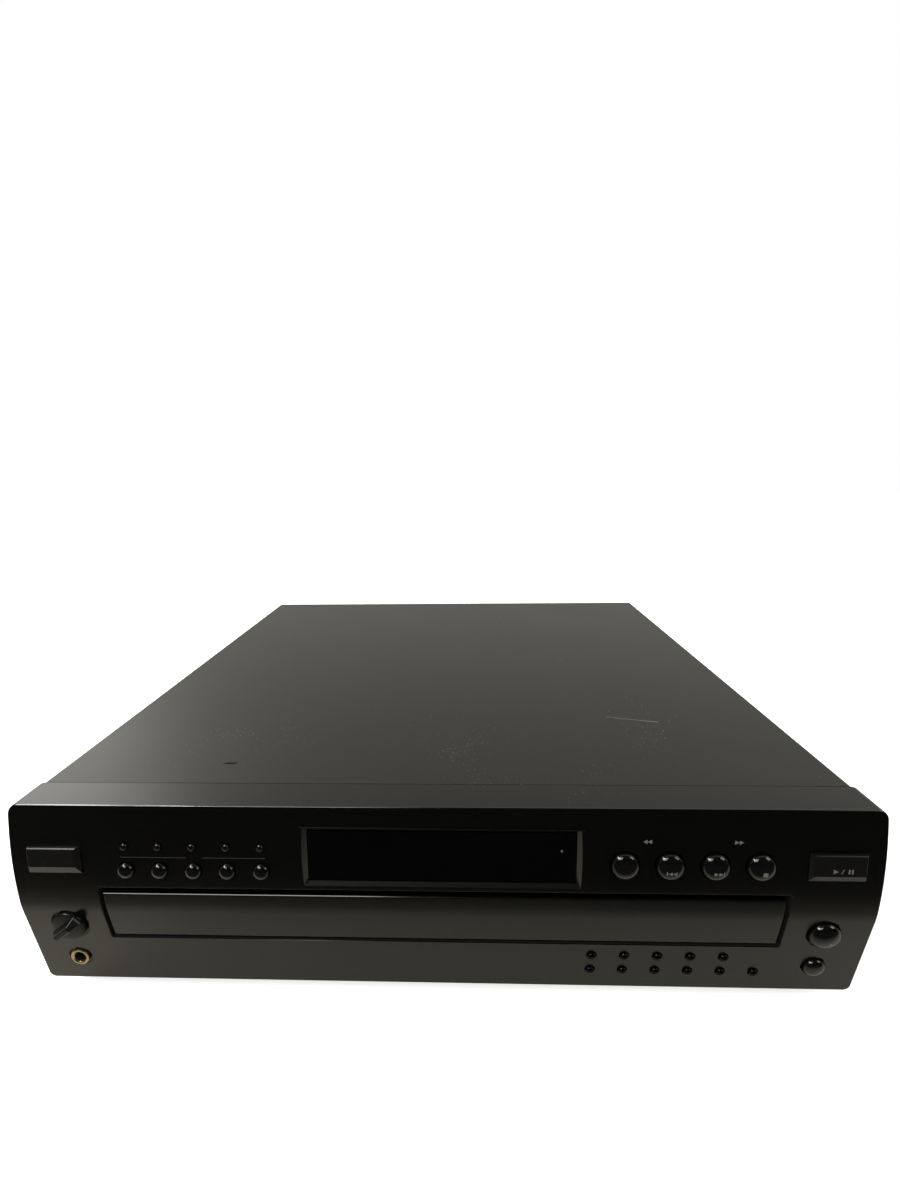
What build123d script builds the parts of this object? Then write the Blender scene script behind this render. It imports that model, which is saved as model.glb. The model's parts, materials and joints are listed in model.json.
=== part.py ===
from build123d import *
import os
from math import acos, asin, atan, ceil, cos, degrees, pi, radians, sin, sqrt, tan

# A front-loading disc changer with a five-disc carousel in its drawer.
# Millimetres: x to the right, y to the back, z up. The origin is under the middle of
# the whole box, at the height of the surface that the feet stand on.

# ---------------------------------------------------------------- cabinet
end_room = 43.0  # of the front panel past each end of its opening
back_room = 18.0  # from the back of the shut drawer to the back of the cover
panel_height = 110.0
foot_height = 11.0  # from the table to the front panel's lower edge
crest_height = 53.5  # of the crest, where the front panel stands furthest out
brow_setback = 7.0  # of the panel's top edge, behind the crest
chin_setback = 5.7  # of the panel's lower edge, behind the crest
panel_depth = 25.8  # from the crest to the seam with the cover
panel_wall = 3.0
top_corner = 4.5
bottom_corner = 3.5
panel_overhang = 3.2  # of the panel past the cover, on each side
seam_gap = 0.3
cover_sheet = 0.8
cover_bend = 2.5
base_sheet = 1.0
base_lift = 1.0  # of the base over the panel's lower edge
base_flange = 14.0
upstand_height = 7.0
lip_height = 11.0  # of the cover's turned-down back edge
fit_gap = 0.3  # between pieces that are put together
run_gap = 0.4  # between pieces that pass each other
bore_gap = 0.06  # round a shaft in its bearing

# ---------------------------------------------------------------- disc and carousel
disc_count = 5
disc_radius = 60.0
disc_thickness = 1.2
pocket_web = 0.66  # between two pockets where they come nearest
pocket_gap = 0.8  # round a disc in its pocket
carousel_rim = 2.2  # past the pockets
carousel_floor = 2.5
pocket_depth = 3.2
slot_half_width = 19.0
spindle_radius = 7.0
cap_radius = 17.0
cap_height = 2.4

# ---------------------------------------------------------------- drawer
drawer_travel = 225.0
opening_bottom_height = 32.0  # over the panel's lower edge
opening_height = 34.0
opening_corner = 1.2
collar_depth = 12.0  # of the frame round the opening, behind the panel's face
collar_wall = 1.5
door_side_gap = 2.2
door_lower_gap = 2.4
door_upper_gap = 3.2
door_wall = 2.5
door_depth = 11.0  # from the crest to the back of the door
door_bevel = 0.8
tray_side_gap = 3.0  # between the tray and the opening
tongue_reach = 2.3  # of the tray's side runner
tongue_height = 3.0
tongue_front = 22.0  # of the runners, behind the tray's front
tongue_back = 2.0  # of the runners, ahead of the tray's back
rack_drop = 4.0  # of the rack under the tray's floor
rack_width = 6.0
tray_lift = 0.5  # of the rack over the opening's lower edge
tray_floor = 2.0
tray_wall = 2.2
tray_corner = 4.0
well_gap = 1.5  # round the carousel
tray_front = 22.0  # from the drawer's door to the well
tray_back_wall = 2.0
tray_side_wall = 3.0  # beside the well, where the tray is narrowest
notch_half_width = 42.0  # of the tray's opening for the pickup
notch_front = 60.0  # from the carousel's centre to the front of that opening
rack_x = -100.0
pad_size = 8.0

# ---------------------------------------------------------------- gears
gear_module = 2.0
table_teeth = 72
pinion_teeth = 15
pinion_side = 57.0  # of the pinion's axis from the middle
drive_module = 2.0
drive_teeth = 15
gear_face = 3.7
ring_wall = 6.0  # of the ring gear, inside its pitch circle
hub_wall = 5.0
pressure_angle = 20.0
tip_height = 0.9  # of a tooth over the pitch circle, in modules
root_depth = 1.1
backlash = 0.35
motor_radius = 12.2
motor_length = 12.3
motor_shaft = 1.0
motor_boss = 3.0  # hole in the tray round the turntable motor's shaft

# ---------------------------------------------------------------- pickup unit
play_lift = 4.7  # of a played disc over its pocket
traverse_tilt = 9.0  # of the lowered unit, degrees
raised_gap = 1.8  # under the carousel, over the raised unit
pivot_gap = 8.0  # from the pivot to the rear panel
traverse_half_width = 36.0
traverse_side = 8.0
traverse_wall = 3.0
plate_sheet = 2.0
ledge_width = 8.0
ledge_sheet = 2.0
ledge_w = -1.0  # of the ledge's top, from the unit's middle plane
traverse_front = 27.0  # ahead of the disc table's centre
traverse_back = 4.0  # behind the pivot
pin_radius = 2.0
pin_reach = 6.0
ear_wall = 3.0
table_radius = 15.0
table_hub = 9.0
table_sheet = 1.5
cone_radius = 7.4
cone_height = 2.5
rod_radius = 1.5
rod_side = 19.0
rod_w = -1.5  # of the rod's axis, from the unit's middle plane
rod_block = 4.0
lens_start = 23.0  # from the disc's centre to the lens, at the disc's first track
lens_travel = 34.0
sled_length = 20.0
sled_width = 46.0
sled_drop = 5.5  # of the sled under the unit's middle plane
lens_radius = 4.5
focus_gap = 1.6

# ---------------------------------------------------------------- clamper
bridge_lift = 7.5  # of the bridge over the carousel's rim
bridge_length = 52.0
bridge_post = 40.0
bridge_sheet = 1.2
bridge_edge = 8.0
clamper_radius = 14.0
clamper_flange = 19.0
clamper_flange_height = 2.0
clamper_gap = 0.5  # over a played disc
clamper_play = 1.0  # round the clamper in its bridge, and round the disc table's cone

# ---------------------------------------------------------------- loader frame and drive
rail_room = 6.0  # of the rail's hollow past the runner's groove
rail_wall = 2.5
rail_front = 32.0  # of the rails, behind the crest
rail_back = 3.0  # of the rails, ahead of the rear panel
rail_ledge = 2.5
shelf_height = 13.5  # of the drive's shelf over the base
shelf_length = 36.0
back_bar = 12.0
back_bar_height = 9.0
shelf_sheet = 2.5
ear_length = 10.0
pulley_radius = 17.0
pulley_face = 3.0
pulley_lift = 4.5  # of the pulleys over the shelf
motor_pulley = 4.0
belt_thick = 1.2
belt_width = 2.0
belt_span = 52.0
drive_post = 3.0

# ---------------------------------------------------------------- keys
key_travel = 0.8
key_crown = 0.38  # height of a key's crown, as a share of its radius
key_shoulder = 0.6  # width of the crown's slope, as a share of the radius
key_stand = 0.5  # of a key's edge before the panel
key_flange = 1.0  # of a key's base past its sides
flat_limit = 0.2  # how far a key's flat sides may stray from its circle
key_gap = 0.25  # round a key in its hole
key_rest_gap = 0.25  # between a key's base and the back of the panel
key_base = 1.2
key_post = 2.4
switch_size = 6.0
switch_height = 3.5
board_depth = 19.0  # from the crest to the face of the key board
board_sheet = 1.6
tube_depth = 5.0
tube_margin = 4.0  # of the display tube inside the window
pot_size = 16.0
pot_depth = 7.0
small_row_x = 59.5  # of the small keys' first, from the panel's left end
small_row_pitch = 17.35
mode_height = 89.3
mode_radius = 1.8
disc_key_height = 76.5
disc_key_radius = 4.1
transport_x = 125.1  # of the first transport key, from the panel's right end
transport_pitch = 21.9
transport_height = 81.7
transport_radius = 6.7
number_x = 137.8  # of the first number key, from the panel's right end
number_pitch = 17.0
number_heights = (23.9, 13.2)
number_counts = (5, 6)
number_radius = 2.4
outer_x = 23.0  # of the outermost keys, from the panel's ends
open_height = 41.6
open_radius = 7.7
exchange_height = 18.3
exchange_radius = 5.4
bar_key_height = 82.0
bar_width = 27.4
bar_height = 14.6
bar_stand = 2.4
bar_bevel = 3.8
bar_end_bevel = 1.6

# ---------------------------------------------------------------- other front features
window_left = 151.9  # from the panel's left end to the window
window_right = 148.0  # from the window to the panel's right end
window_height = 83.9
window_opening = 27.2
window_bevel = 2.2
lens_sheet = 1.8
lens_lip = 1.8
knob_height = 41.4
knob_radius = 7.0
knob_reach = 7.5  # of the grip before the crest
knob_skirt = 3.2
blade_length = 17.0
blade_width = 4.4
blade_turn = 40.0  # of the grip at rest, from level
knob_shaft = 3.0
knob_turn = 140.0
jack_x = 22.1  # from the panel's left end
jack_height = 17.5
jack_radius = 3.25
ferrule_radius = 4.9
ferrule_stand = 1.2
jack_length = 22.0
jack_shoulder = 2.4  # width of the jack's block past its ferrule
recess_depth = 1.0
recess_gap = 1.5

# ---------------------------------------------------------------- rear and inside
foot_radius = 14.2
foot_side = 49.0  # from the cover's side to a foot's middle
foot_front = 60.0  # behind the crest
foot_back = 40.0  # ahead of the cover's back edge
socket_reach = 8.0  # of the line sockets behind the rear panel
socket_pitch = 14.0
socket_height = 24.0
socket_radius = 4.15
socket_bore = 1.8
bushing_x = 64.0  # from the cover's side
bushing_height = 24.0
bushing_radius = 7.0
bushing_rim = 2.0
bushing_depth = 6.0
bushing_wall = 3.4
socket_margin = 3.0  # of the block round its two sockets
socket_block_height = 15.0
socket_block_depth = 12.0
socket_step = 1.0  # of the block past the rear panel's outer face
vent_width = 4.0
base_vent_length = 46.0
base_vent_pitch = 12.0
base_vent_count = 6
base_vent_x = 110.0  # of each group's middle
base_vent_y = 190.0  # behind the crest
rear_vent_height = 32.0
rear_vent_pitch = 9.0
rear_vent_count = 10
rear_vent_x = 104.0  # of the group's middle, from the cover's side
rear_vent_z = 70.0  # over the panel's lower edge
transformer_ahead = 36.0  # of the transformer's middle, ahead of the back bar
transformer_gap = 12.0  # beside the rail
core_length = 50.0
core_width = 19.0
core_height = 25.0
coil_length = 33.0
coil_width = 42.0
coil_inset = 3.0  # of the coil from the core's top and bottom
tab_reach = 7.0  # of the mounting tabs past the core
board_gap = 12.0  # of the main board beside the rail
board_width = 96.0
main_board_length = 150.0
main_board_back = 3.0  # ahead of the back bar
standoff = 6.0  # of the board over the base
standoff_size = 5.0
chip_size = 24.0
chip_height = 2.5
strip_size = (10.0, 26.0)
cap_can_radius = 5.0
cap_can_height = 12.0

# ---------------------------------------------------------------- worked out from these
pocket_radius = disc_radius + pocket_gap
pocket_centre_radius = (pocket_radius + pocket_web / 2) / sin(pi / disc_count)
carousel_radius = pocket_centre_radius + pocket_radius + carousel_rim
well_radius = carousel_radius + well_gap
tray_half = well_radius + tray_side_wall
tray_length = tray_front + 2 * well_radius + tray_back_wall
opening_width = 2 * (tray_half + tray_side_gap)
width = opening_width + 2 * end_room  # front panel
body_depth = door_depth + tray_length + back_room  # from the crest to the back of the cover
crest_y = (knob_reach - body_depth - socket_reach + cover_sheet) / 2
back_y = crest_y + body_depth
seam_y = crest_y + panel_depth
rear_y = back_y - cover_sheet  # outer face of the rear panel
panel_bottom = foot_height
panel_top = panel_bottom + panel_height
crest_z = panel_bottom + crest_height
brow_height = panel_height - crest_height
brow_radius = (brow_height**2 + brow_setback**2) / (2 * brow_setback)
lean = atan(chin_setback / crest_height)
cover_half = width / 2 - panel_overhang
base_z = panel_bottom + base_lift
floor_z = base_z + base_sheet

opening_bottom = panel_bottom + opening_bottom_height
opening_top = opening_bottom + opening_height
door_bottom = opening_bottom + door_lower_gap
door_top = opening_top - door_upper_gap
door_y = crest_y + door_depth
rack_bottom = opening_bottom + tray_lift
tray_bottom = rack_bottom + rack_drop
tray_top_of_floor = tray_bottom + tray_floor
gear_z = tray_top_of_floor + fit_gap
carousel_bottom = gear_z + gear_face + fit_gap
disc_z = carousel_bottom + carousel_floor  # underside of a disc in its pocket
carousel_top = disc_z + pocket_depth
tray_back_y = door_y + tray_length
carousel_y = tray_back_y - tray_back_wall - well_radius

play_y = carousel_y + pocket_centre_radius
played_z = disc_z + play_lift
pivot_y = rear_y - base_sheet - pivot_gap
pivot_z = carousel_bottom - raised_gap - traverse_side / 2
arm = pivot_y - play_y
bridge_z = carousel_top + bridge_lift
board_y = crest_y + board_depth
rail_inner = tray_half + run_gap
drive_radius = drive_module * drive_teeth / 2
drive_x = rack_x + drive_radius
drive_y = door_y + 34.0
drive_top = tray_bottom - run_gap
loading_motor_x = drive_x + belt_span
shelf_z = floor_z + shelf_height
unit_plane = Plane(
    origin=(0, pivot_y, pivot_z),
    x_dir=(1, 0, 0),
    z_dir=(0, -sin(radians(traverse_tilt)), cos(radians(traverse_tilt))),
)


def face_y(z):
    """How far back the front panel's face is at height z."""
    if z > crest_z:
        return crest_y + brow_radius - sqrt(brow_radius**2 - (z - crest_z) ** 2)
    return crest_y + (crest_z - z) * tan(lean)


def face_tilt(z):
    """How far the face looks up at height z, in radians."""
    return asin((z - crest_z) / brow_radius) if z > crest_z else -lean


def face_plane(x, z):
    """A plane that touches the front panel's face, x to the right and y up the panel."""
    tilt = face_tilt(z)
    return Plane(origin=(x, face_y(z), z), x_dir=(1, 0, 0), z_dir=(0, -cos(tilt), sin(tilt)))


def front_plane(x, y, z):
    """An upright plane that faces the front."""
    return Plane(origin=(x, y, z), x_dir=(1, 0, 0), z_dir=(0, -1, 0))


def back_plane(x, y, z):
    """An upright plane that faces the back."""
    return Plane(origin=(x, y, z), x_dir=(-1, 0, 0), z_dir=(0, 1, 0))


def panel_profile(rear, bottom=panel_bottom, top=panel_top):
    """The front panel seen from the side, filled back to y = rear."""
    with BuildSketch(Plane.YZ) as profile:
        with BuildLine():
            start = (face_y(bottom), bottom)
            end = (face_y(top), top)
            middle = (crest_z + top) / 2
            Line(start, (crest_y, crest_z))
            ThreePointArc((crest_y, crest_z), (face_y(middle), middle), end)
            Polyline(end, (rear, top), (rear, bottom), start)
        make_face()
    return profile.sketch


def gear_outline(plane, teeth, module, turn=0.0, steps=3):
    """A toothed wheel, each flank drawn through points on the involute of its base circle."""
    pitch = module * teeth / 2
    base = pitch * cos(radians(pressure_angle))
    root = pitch - root_depth * module
    tip = pitch + tip_height * module
    radii = [root + i * (tip - root) / (steps - 1) for i in range(steps)]

    def roll(radius):
        angle = acos(min(1.0, base / radius))
        return tan(angle) - angle

    half_tooth = (pi * module / 2 - backlash) / 2 / pitch + roll(pitch)
    with BuildSketch(plane) as wheel:
        with BuildLine():
            points = []
            for tooth in range(teeth):
                middle = 2 * pi * tooth / teeth + radians(turn)
                flank = [(r, half_tooth - roll(max(r, base))) for r in radii]
                points += [(r * cos(middle - angle), r * sin(middle - angle)) for r, angle in flank]
                points += [(r * cos(middle + angle), r * sin(middle + angle)) for r, angle in flank[::-1]]
            Polyline(*points, close=True)
        make_face()
    return wheel.sketch


sides = (-1, 1)  # left and right, or front and back

# ---------------------------------------------------------------- keys' places
round_keys = {}
for i in range(disc_count):
    key_x = small_row_x - width / 2 + i * small_row_pitch
    round_keys[f"mode_button_{i + 1}"] = (key_x, mode_height, mode_radius)
for i in range(disc_count):
    key_x = small_row_x - width / 2 + i * small_row_pitch
    round_keys[f"disc_button_{i + 1}"] = (key_x, disc_key_height, disc_key_radius)
for i, name in enumerate(("disc_skip_button", "skip_back_button", "skip_forward_button", "stop_button")):
    key_x = width / 2 - transport_x + i * transport_pitch
    round_keys[name] = (key_x, transport_height, transport_radius)
for row, count in enumerate(number_counts):
    for i in range(count):
        name = f"number_key_{sum(number_counts[:row]) + i + 1}"
        key_x = width / 2 - number_x + i * number_pitch
        round_keys[name] = (key_x, number_heights[row], number_radius)
outer_key_x = width / 2 - outer_x
round_keys["open_close_button"] = (outer_key_x, open_height, open_radius)
round_keys["exchange_button"] = (outer_key_x, exchange_height, exchange_radius)
bar_keys = {
    "power_button": (-outer_key_x, bar_key_height),
    "play_button": (outer_key_x, bar_key_height),
}


def key_plane(x, height):
    """The face plane under a key whose height is given over the panel's lower edge."""
    return face_plane(x, panel_bottom + height)


def flat_sides(radius):
    """How many flat sides keep a round key or its hole within the limit of a true circle."""
    return 2 * ceil(pi / acos(1 - flat_limit / radius) / 2)


def switch_place(x, height):
    """Where a key's axis meets the face of its switch on the key board."""
    z = panel_bottom + height
    switch_face = board_y - switch_height
    return x, switch_face, z - (switch_face - face_y(z)) * tan(face_tilt(z))


def post_length(x, height):
    """From the back of a key's base to its switch, less the travel and a gap."""
    z = panel_bottom + height
    reach = (board_y - switch_height - face_y(z)) / cos(face_tilt(z))
    return reach - panel_wall - key_rest_gap - key_base - key_travel - fit_gap


def export(piece, name):
    piece.label = name
    export_step(piece, f"parts/{name}.step")


os.makedirs("parts", exist_ok=True)

# ---------------------------------------------------------------- front panel
knob_x = -outer_key_x
knob_z = panel_bottom + knob_height
jack_middle_x = jack_x - width / 2
jack_z = panel_bottom + jack_height
knob_floor_y = face_y(knob_z) + recess_depth
jack_floor_y = face_y(jack_z) + recess_depth
window_z = panel_bottom + window_height
window_width = width - window_left - window_right
window_x = (window_left - window_right) / 2
window_face = face_plane(window_x, window_z)
inside = offset(panel_profile(seam_y + 2 * panel_wall), amount=-panel_wall, kind=Kind.INTERSECTION)
with BuildPart() as front_panel:
    extrude(panel_profile(seam_y), amount=width / 2, both=True)
    with BuildSketch(Plane.XZ.offset(-seam_y)):
        with Locations((0, (panel_bottom + panel_top) / 2)):
            Rectangle(width, panel_height)
        fillet(vertices().group_by(Axis.Y)[-1], radius=top_corner)
        fillet(vertices().group_by(Axis.Y)[0], radius=bottom_corner)
    extrude(amount=2 * panel_depth, mode=Mode.INTERSECT)
    extrude(inside, amount=width / 2 - panel_wall, both=True, mode=Mode.SUBTRACT)
    # the collar that the door closes into
    opening_middle = (opening_bottom + opening_top) / 2
    with BuildSketch(Plane.XZ.offset(-crest_y - panel_wall)):
        with Locations((0, opening_middle)):
            Rectangle(opening_width + 2 * collar_wall, opening_height + 2 * collar_wall)
    extrude(amount=panel_wall - collar_depth)
    with BuildSketch(Plane.XZ.offset(-crest_y + panel_wall)):
        with Locations((0, opening_middle)):
            RectangleRounded(opening_width, opening_height, opening_corner)
    extrude(amount=-3 * panel_depth, mode=Mode.SUBTRACT)
    # the window's bevelled frame and opening
    with BuildSketch(window_face):
        Rectangle(window_width + 2 * window_bevel, window_opening + 2 * window_bevel)
    extrude(amount=-window_bevel, taper=45, mode=Mode.SUBTRACT)
    with BuildSketch(window_face):
        Rectangle(window_width, window_opening)
    extrude(amount=-3 * panel_wall, mode=Mode.SUBTRACT)
    # holes for the keys
    for x, height, radius in round_keys.values():
        with BuildSketch(key_plane(x, height).offset(panel_wall)):
            RegularPolygon(radius + key_gap, flat_sides(radius))
        extrude(amount=-3 * panel_wall, mode=Mode.SUBTRACT)
    for x, height in bar_keys.values():
        with BuildSketch(key_plane(x, height).offset(panel_wall)):
            Rectangle(bar_width + 2 * key_gap, bar_height + 2 * key_gap)
        extrude(amount=-3 * panel_wall, mode=Mode.SUBTRACT)
    # recesses and holes for the level knob and the phones jack
    for x, floor_y, z, recess, hole in (
        (knob_x, knob_floor_y, knob_z, blade_length / 2 + recess_gap, knob_shaft + fit_gap),
        (jack_middle_x, jack_floor_y, jack_z, ferrule_radius + recess_gap, ferrule_radius + bore_gap),
    ):
        with BuildSketch(front_plane(x, floor_y, z)):
            Circle(recess)
        extrude(amount=panel_wall + chin_setback, mode=Mode.SUBTRACT)
        with BuildSketch(front_plane(x, floor_y, z)):
            Circle(hole)
        extrude(amount=-2 * panel_wall, mode=Mode.SUBTRACT)
export(front_panel.part, "front_panel")

# ---------------------------------------------------------------- window and its lip
with BuildPart() as display_window:
    with BuildSketch(window_face.offset(-window_bevel)):
        Rectangle(window_width - 2 * fit_gap, window_opening - 2 * fit_gap)
    lens_back = panel_wall + key_rest_gap + 0.6
    extrude(amount=window_bevel - lens_back)
    with BuildSketch(window_face.offset(-lens_back)):
        Rectangle(window_width + 2 * lens_lip, window_opening + 2 * lens_lip)
    extrude(amount=-lens_sheet)
export(display_window.part, "display_window")


def round_key(name, x, height, radius):
    """A crowned key with a square base that keeps it in and a post to its switch."""
    face = key_plane(x, height)
    crown = key_crown * radius
    base_front = -panel_wall - key_rest_gap
    with BuildPart() as key:
        with BuildSketch(face.offset(base_front)):
            RegularPolygon(radius, flat_sides(radius))
        extrude(amount=key_stand + crown - base_front)
        tip = faces().sort_by(Axis(face.origin, face.z_dir))[-1]
        chamfer(tip.edges(), length=crown, length2=key_shoulder * radius, reference=tip)
        with BuildSketch(face.offset(base_front)):
            Rectangle(2 * (radius + key_flange), 2 * (radius + key_flange))
        extrude(amount=-key_base)
        with BuildSketch(face.offset(base_front - key_base)):
            Rectangle(key_post, key_post)
        extrude(amount=-post_length(x, height))
    export(key.part, name)


def bar_key(name, x, height):
    """A wide key with a bevelled lower edge and bevelled ends."""
    face = key_plane(x, height)
    base_front = -panel_wall - key_rest_gap
    half = bar_height / 2
    with BuildPart() as key:
        with BuildSketch(Plane(origin=face.origin, x_dir=face.y_dir, z_dir=face.x_dir)):
            with BuildLine():
                Polyline(
                    (-half, base_front),
                    (half, base_front),
                    (half, bar_stand - 0.6),
                    (half - 0.6, bar_stand),
                    (bar_bevel - half, bar_stand),
                    (-half, 0.3),
                    close=True,
                )
            make_face()
        extrude(amount=bar_width / 2, both=True)
        with BuildSketch(Plane(origin=face.origin, x_dir=face.x_dir, z_dir=-face.y_dir)):
            with BuildLine():
                Polyline(
                    (-bar_width / 2, base_front),
                    (bar_width / 2, base_front),
                    (bar_width / 2, 0.6),
                    (bar_width / 2 - bar_end_bevel, bar_stand),
                    (bar_end_bevel - bar_width / 2, bar_stand),
                    (-bar_width / 2, 0.6),
                    close=True,
                )
            make_face()
        extrude(amount=bar_height, both=True, mode=Mode.INTERSECT)
        with BuildSketch(face.offset(base_front)):
            Rectangle(bar_width + 2 * key_flange, bar_height + 2 * key_flange)
        extrude(amount=-key_base)
        with BuildSketch(face.offset(base_front - key_base)):
            Rectangle(2 * key_post, key_post)
        extrude(amount=-post_length(x, height))
    export(key.part, name)


for name, (x, height, radius) in round_keys.items():
    round_key(name, x, height, radius)
for name, (x, height) in bar_keys.items():
    bar_key(name, x, height)

# ---------------------------------------------------------------- key board
board_margin = 4.0
board_edge = 6.0  # of the board inside the panel's top and bottom
board_notch = 10.0  # of the board past the number keys and over the knob's middle
board_inner = opening_width / 2 + collar_wall + board_margin / 2
board_half = width / 2 - panel_wall - board_margin
upper_leg_bottom = opening_top + collar_wall + board_margin / 2
lower_leg_top = opening_bottom - collar_wall - board_margin / 2
leg_x = width / 2 - number_x - board_notch
with BuildPart() as front_board:
    with BuildSketch(Plane.XZ.offset(-board_y)):
        with BuildLine():
            Polyline(
                (-board_half, panel_top - board_edge),
                (board_half, panel_top - board_edge),
                (board_half, panel_bottom + board_edge),
                (leg_x, panel_bottom + board_edge),
                (leg_x, lower_leg_top),
                (board_inner, lower_leg_top),
                (board_inner, upper_leg_bottom),
                (-board_inner, upper_leg_bottom),
                (-board_inner, knob_z - board_notch),
                (-board_half, knob_z - board_notch),
                close=True,
            )
        make_face()
    extrude(amount=-board_sheet)
    # one switch behind each key
    places = [(x, h) for x, h, r in round_keys.values()] + list(bar_keys.values())
    spots = [switch_place(x, height) for x, height in places]
    with BuildSketch(Plane.XZ.offset(-board_y)):
        with Locations(*[(x, z) for x, y, z in spots]):
            Rectangle(switch_size, switch_size)
    extrude(amount=switch_height)
    # the display tube behind the window
    with BuildSketch(Plane.XZ.offset(-board_y)):
        with Locations((window_x, window_z)):
            Rectangle(window_width - 2 * tube_margin, window_opening - tube_margin)
    extrude(amount=tube_depth)
    # the level control that carries the knob's shaft
    with BuildSketch(Plane.XZ.offset(-board_y)):
        with Locations((knob_x, knob_z)):
            Rectangle(pot_size, pot_size)
    extrude(amount=pot_depth)
    with BuildSketch(Plane.XZ.offset(-board_y + pot_depth)):
        with Locations((knob_x, knob_z)):
            Circle(knob_shaft + bore_gap)
    extrude(amount=-pot_depth, mode=Mode.SUBTRACT)
export(front_board.part, "front_board")

# ---------------------------------------------------------------- level knob
knob_back_y = knob_floor_y - fit_gap
knob_plane = front_plane(knob_x, knob_back_y, knob_z)
blade_height = knob_back_y - (crest_y - knob_reach)
with BuildPart() as phones_knob:
    with BuildSketch(knob_plane):
        Circle(knob_radius)
    extrude(amount=knob_skirt)
    with BuildSketch(knob_plane):
        SlotOverall(blade_length, blade_width, rotation=blade_turn)
    extrude(amount=blade_height)
    with BuildSketch(knob_plane):
        Circle(knob_shaft)
    extrude(amount=knob_back_y - board_y + fit_gap)
export(phones_knob.part, "phones_knob")

# ---------------------------------------------------------------- phones jack
jack_front_y = jack_floor_y - ferrule_stand - recess_depth
jack_front = front_plane(jack_middle_x, jack_front_y, jack_z)
block_front = ferrule_stand + recess_depth + panel_wall + fit_gap  # behind the ferrule's front
jack_bore_length = block_front + jack_length
with BuildPart() as phones_jack:
    with BuildSketch(jack_front):
        Circle(ferrule_radius)
    extrude(amount=-block_front)
    with BuildSketch(jack_front.offset(-block_front)):
        Rectangle(2 * ferrule_radius + jack_shoulder, 2 * ferrule_radius + jack_shoulder)
    extrude(amount=-jack_length)
    with BuildSketch(jack_front):
        Circle(jack_radius)
    extrude(amount=-jack_bore_length, mode=Mode.SUBTRACT)
export(phones_jack.part, "phones_jack")

# ---------------------------------------------------------------- cover
with BuildPart() as top_cover:
    with BuildSketch(Plane.XZ.offset(-back_y)):
        on_base = (Align.CENTER, Align.MIN)
        with Locations((0, base_z)):
            Rectangle(2 * cover_half, panel_top - base_z, align=on_base)
        fillet(vertices().group_by(Axis.Y)[-1], radius=cover_bend)
        with Locations((0, base_z)):
            inner_size = (2 * (cover_half - cover_sheet), panel_top - cover_sheet - base_z)
            Rectangle(*inner_size, align=on_base, mode=Mode.SUBTRACT)
        fillet(vertices().group_by(Axis.Y)[-2], radius=cover_bend - cover_sheet)
    extrude(amount=body_depth - panel_depth - seam_gap)
    with BuildSketch(Plane.XZ.offset(-back_y)):
        with Locations((0, panel_top - cover_sheet - lip_height / 2)):
            Rectangle(2 * (cover_half - cover_bend - 6), lip_height + cover_sheet)
    extrude(amount=cover_sheet)
export(top_cover.part, "top_cover")

# ---------------------------------------------------------------- base and rear panel
base_half = cover_half - cover_sheet - fit_gap
base_front_y = seam_y
rear_front_y = rear_y - base_sheet
with BuildPart() as base_pan:
    with BuildSketch(Plane.XY.offset(base_z)):
        with Locations((0, (base_front_y + rear_front_y) / 2)):
            Rectangle(2 * base_half, rear_front_y - base_front_y)
    extrude(amount=base_flange)
    with BuildSketch(Plane.XY.offset(floor_z)):
        with Locations((0, (base_front_y + rear_front_y) / 2)):
            Rectangle(2 * (base_half - base_sheet), rear_front_y - base_front_y - 2 * base_sheet)
    extrude(amount=base_flange, mode=Mode.SUBTRACT)
    # the front and back flanges stand lower than the sides
    with BuildSketch(Plane.XY.offset(base_z + upstand_height)):
        with Locations((0, (base_front_y + rear_front_y) / 2)):
            Rectangle(2 * (base_half - base_sheet), body_depth)
    extrude(amount=base_flange, mode=Mode.SUBTRACT)
    # cooling slots under the boards
    for side in sides:
        with BuildSketch(Plane.XY.offset(base_z)):
            with Locations((side * base_vent_x, crest_y + base_vent_y)):
                with GridLocations(base_vent_pitch, 0, base_vent_count, 1):
                    Rectangle(vent_width, base_vent_length)
        extrude(amount=base_sheet, mode=Mode.SUBTRACT)
export(base_pan.part, "base_pan")

foot_places = [
    (side * (cover_half - foot_side), y)
    for side in sides
    for y in (crest_y + foot_front, back_y - foot_back)
]
with BuildPart() as feet:
    with BuildSketch(Plane.XY):
        with Locations(*foot_places):
            Circle(foot_radius)
    extrude(amount=base_z)
export(feet.part, "feet")

rail_inside = rail_inner + tongue_reach + rail_room  # of the loader frame's rails
socket_x = rail_inside - board_gap - board_width / 2
socket_block_width = socket_pitch + 2 * (socket_radius + socket_margin)
socket_z = panel_bottom + socket_height
bushing_z = panel_bottom + bushing_height
with BuildPart() as rear_panel:
    with BuildSketch(Plane.XZ.offset(-rear_y)):
        with Locations((0, (base_z + panel_top - cover_sheet - fit_gap) / 2)):
            Rectangle(2 * base_half, panel_top - cover_sheet - fit_gap - base_z)
        fillet(vertices().group_by(Axis.Y)[-1], radius=cover_bend)
        with Locations((socket_x, socket_z)):
            hole = (socket_block_width + fit_gap, socket_block_height + fit_gap)
            Rectangle(*hole, mode=Mode.SUBTRACT)
        with Locations((bushing_x - cover_half, bushing_z)):
            Circle(bushing_radius + bore_gap, mode=Mode.SUBTRACT)
        with Locations((rear_vent_x - cover_half, panel_bottom + rear_vent_z)):
            with GridLocations(rear_vent_pitch, 0, rear_vent_count, 1):
                Rectangle(vent_width, rear_vent_height, mode=Mode.SUBTRACT)
    extrude(amount=base_sheet)
export(rear_panel.part, "rear_panel")

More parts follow.
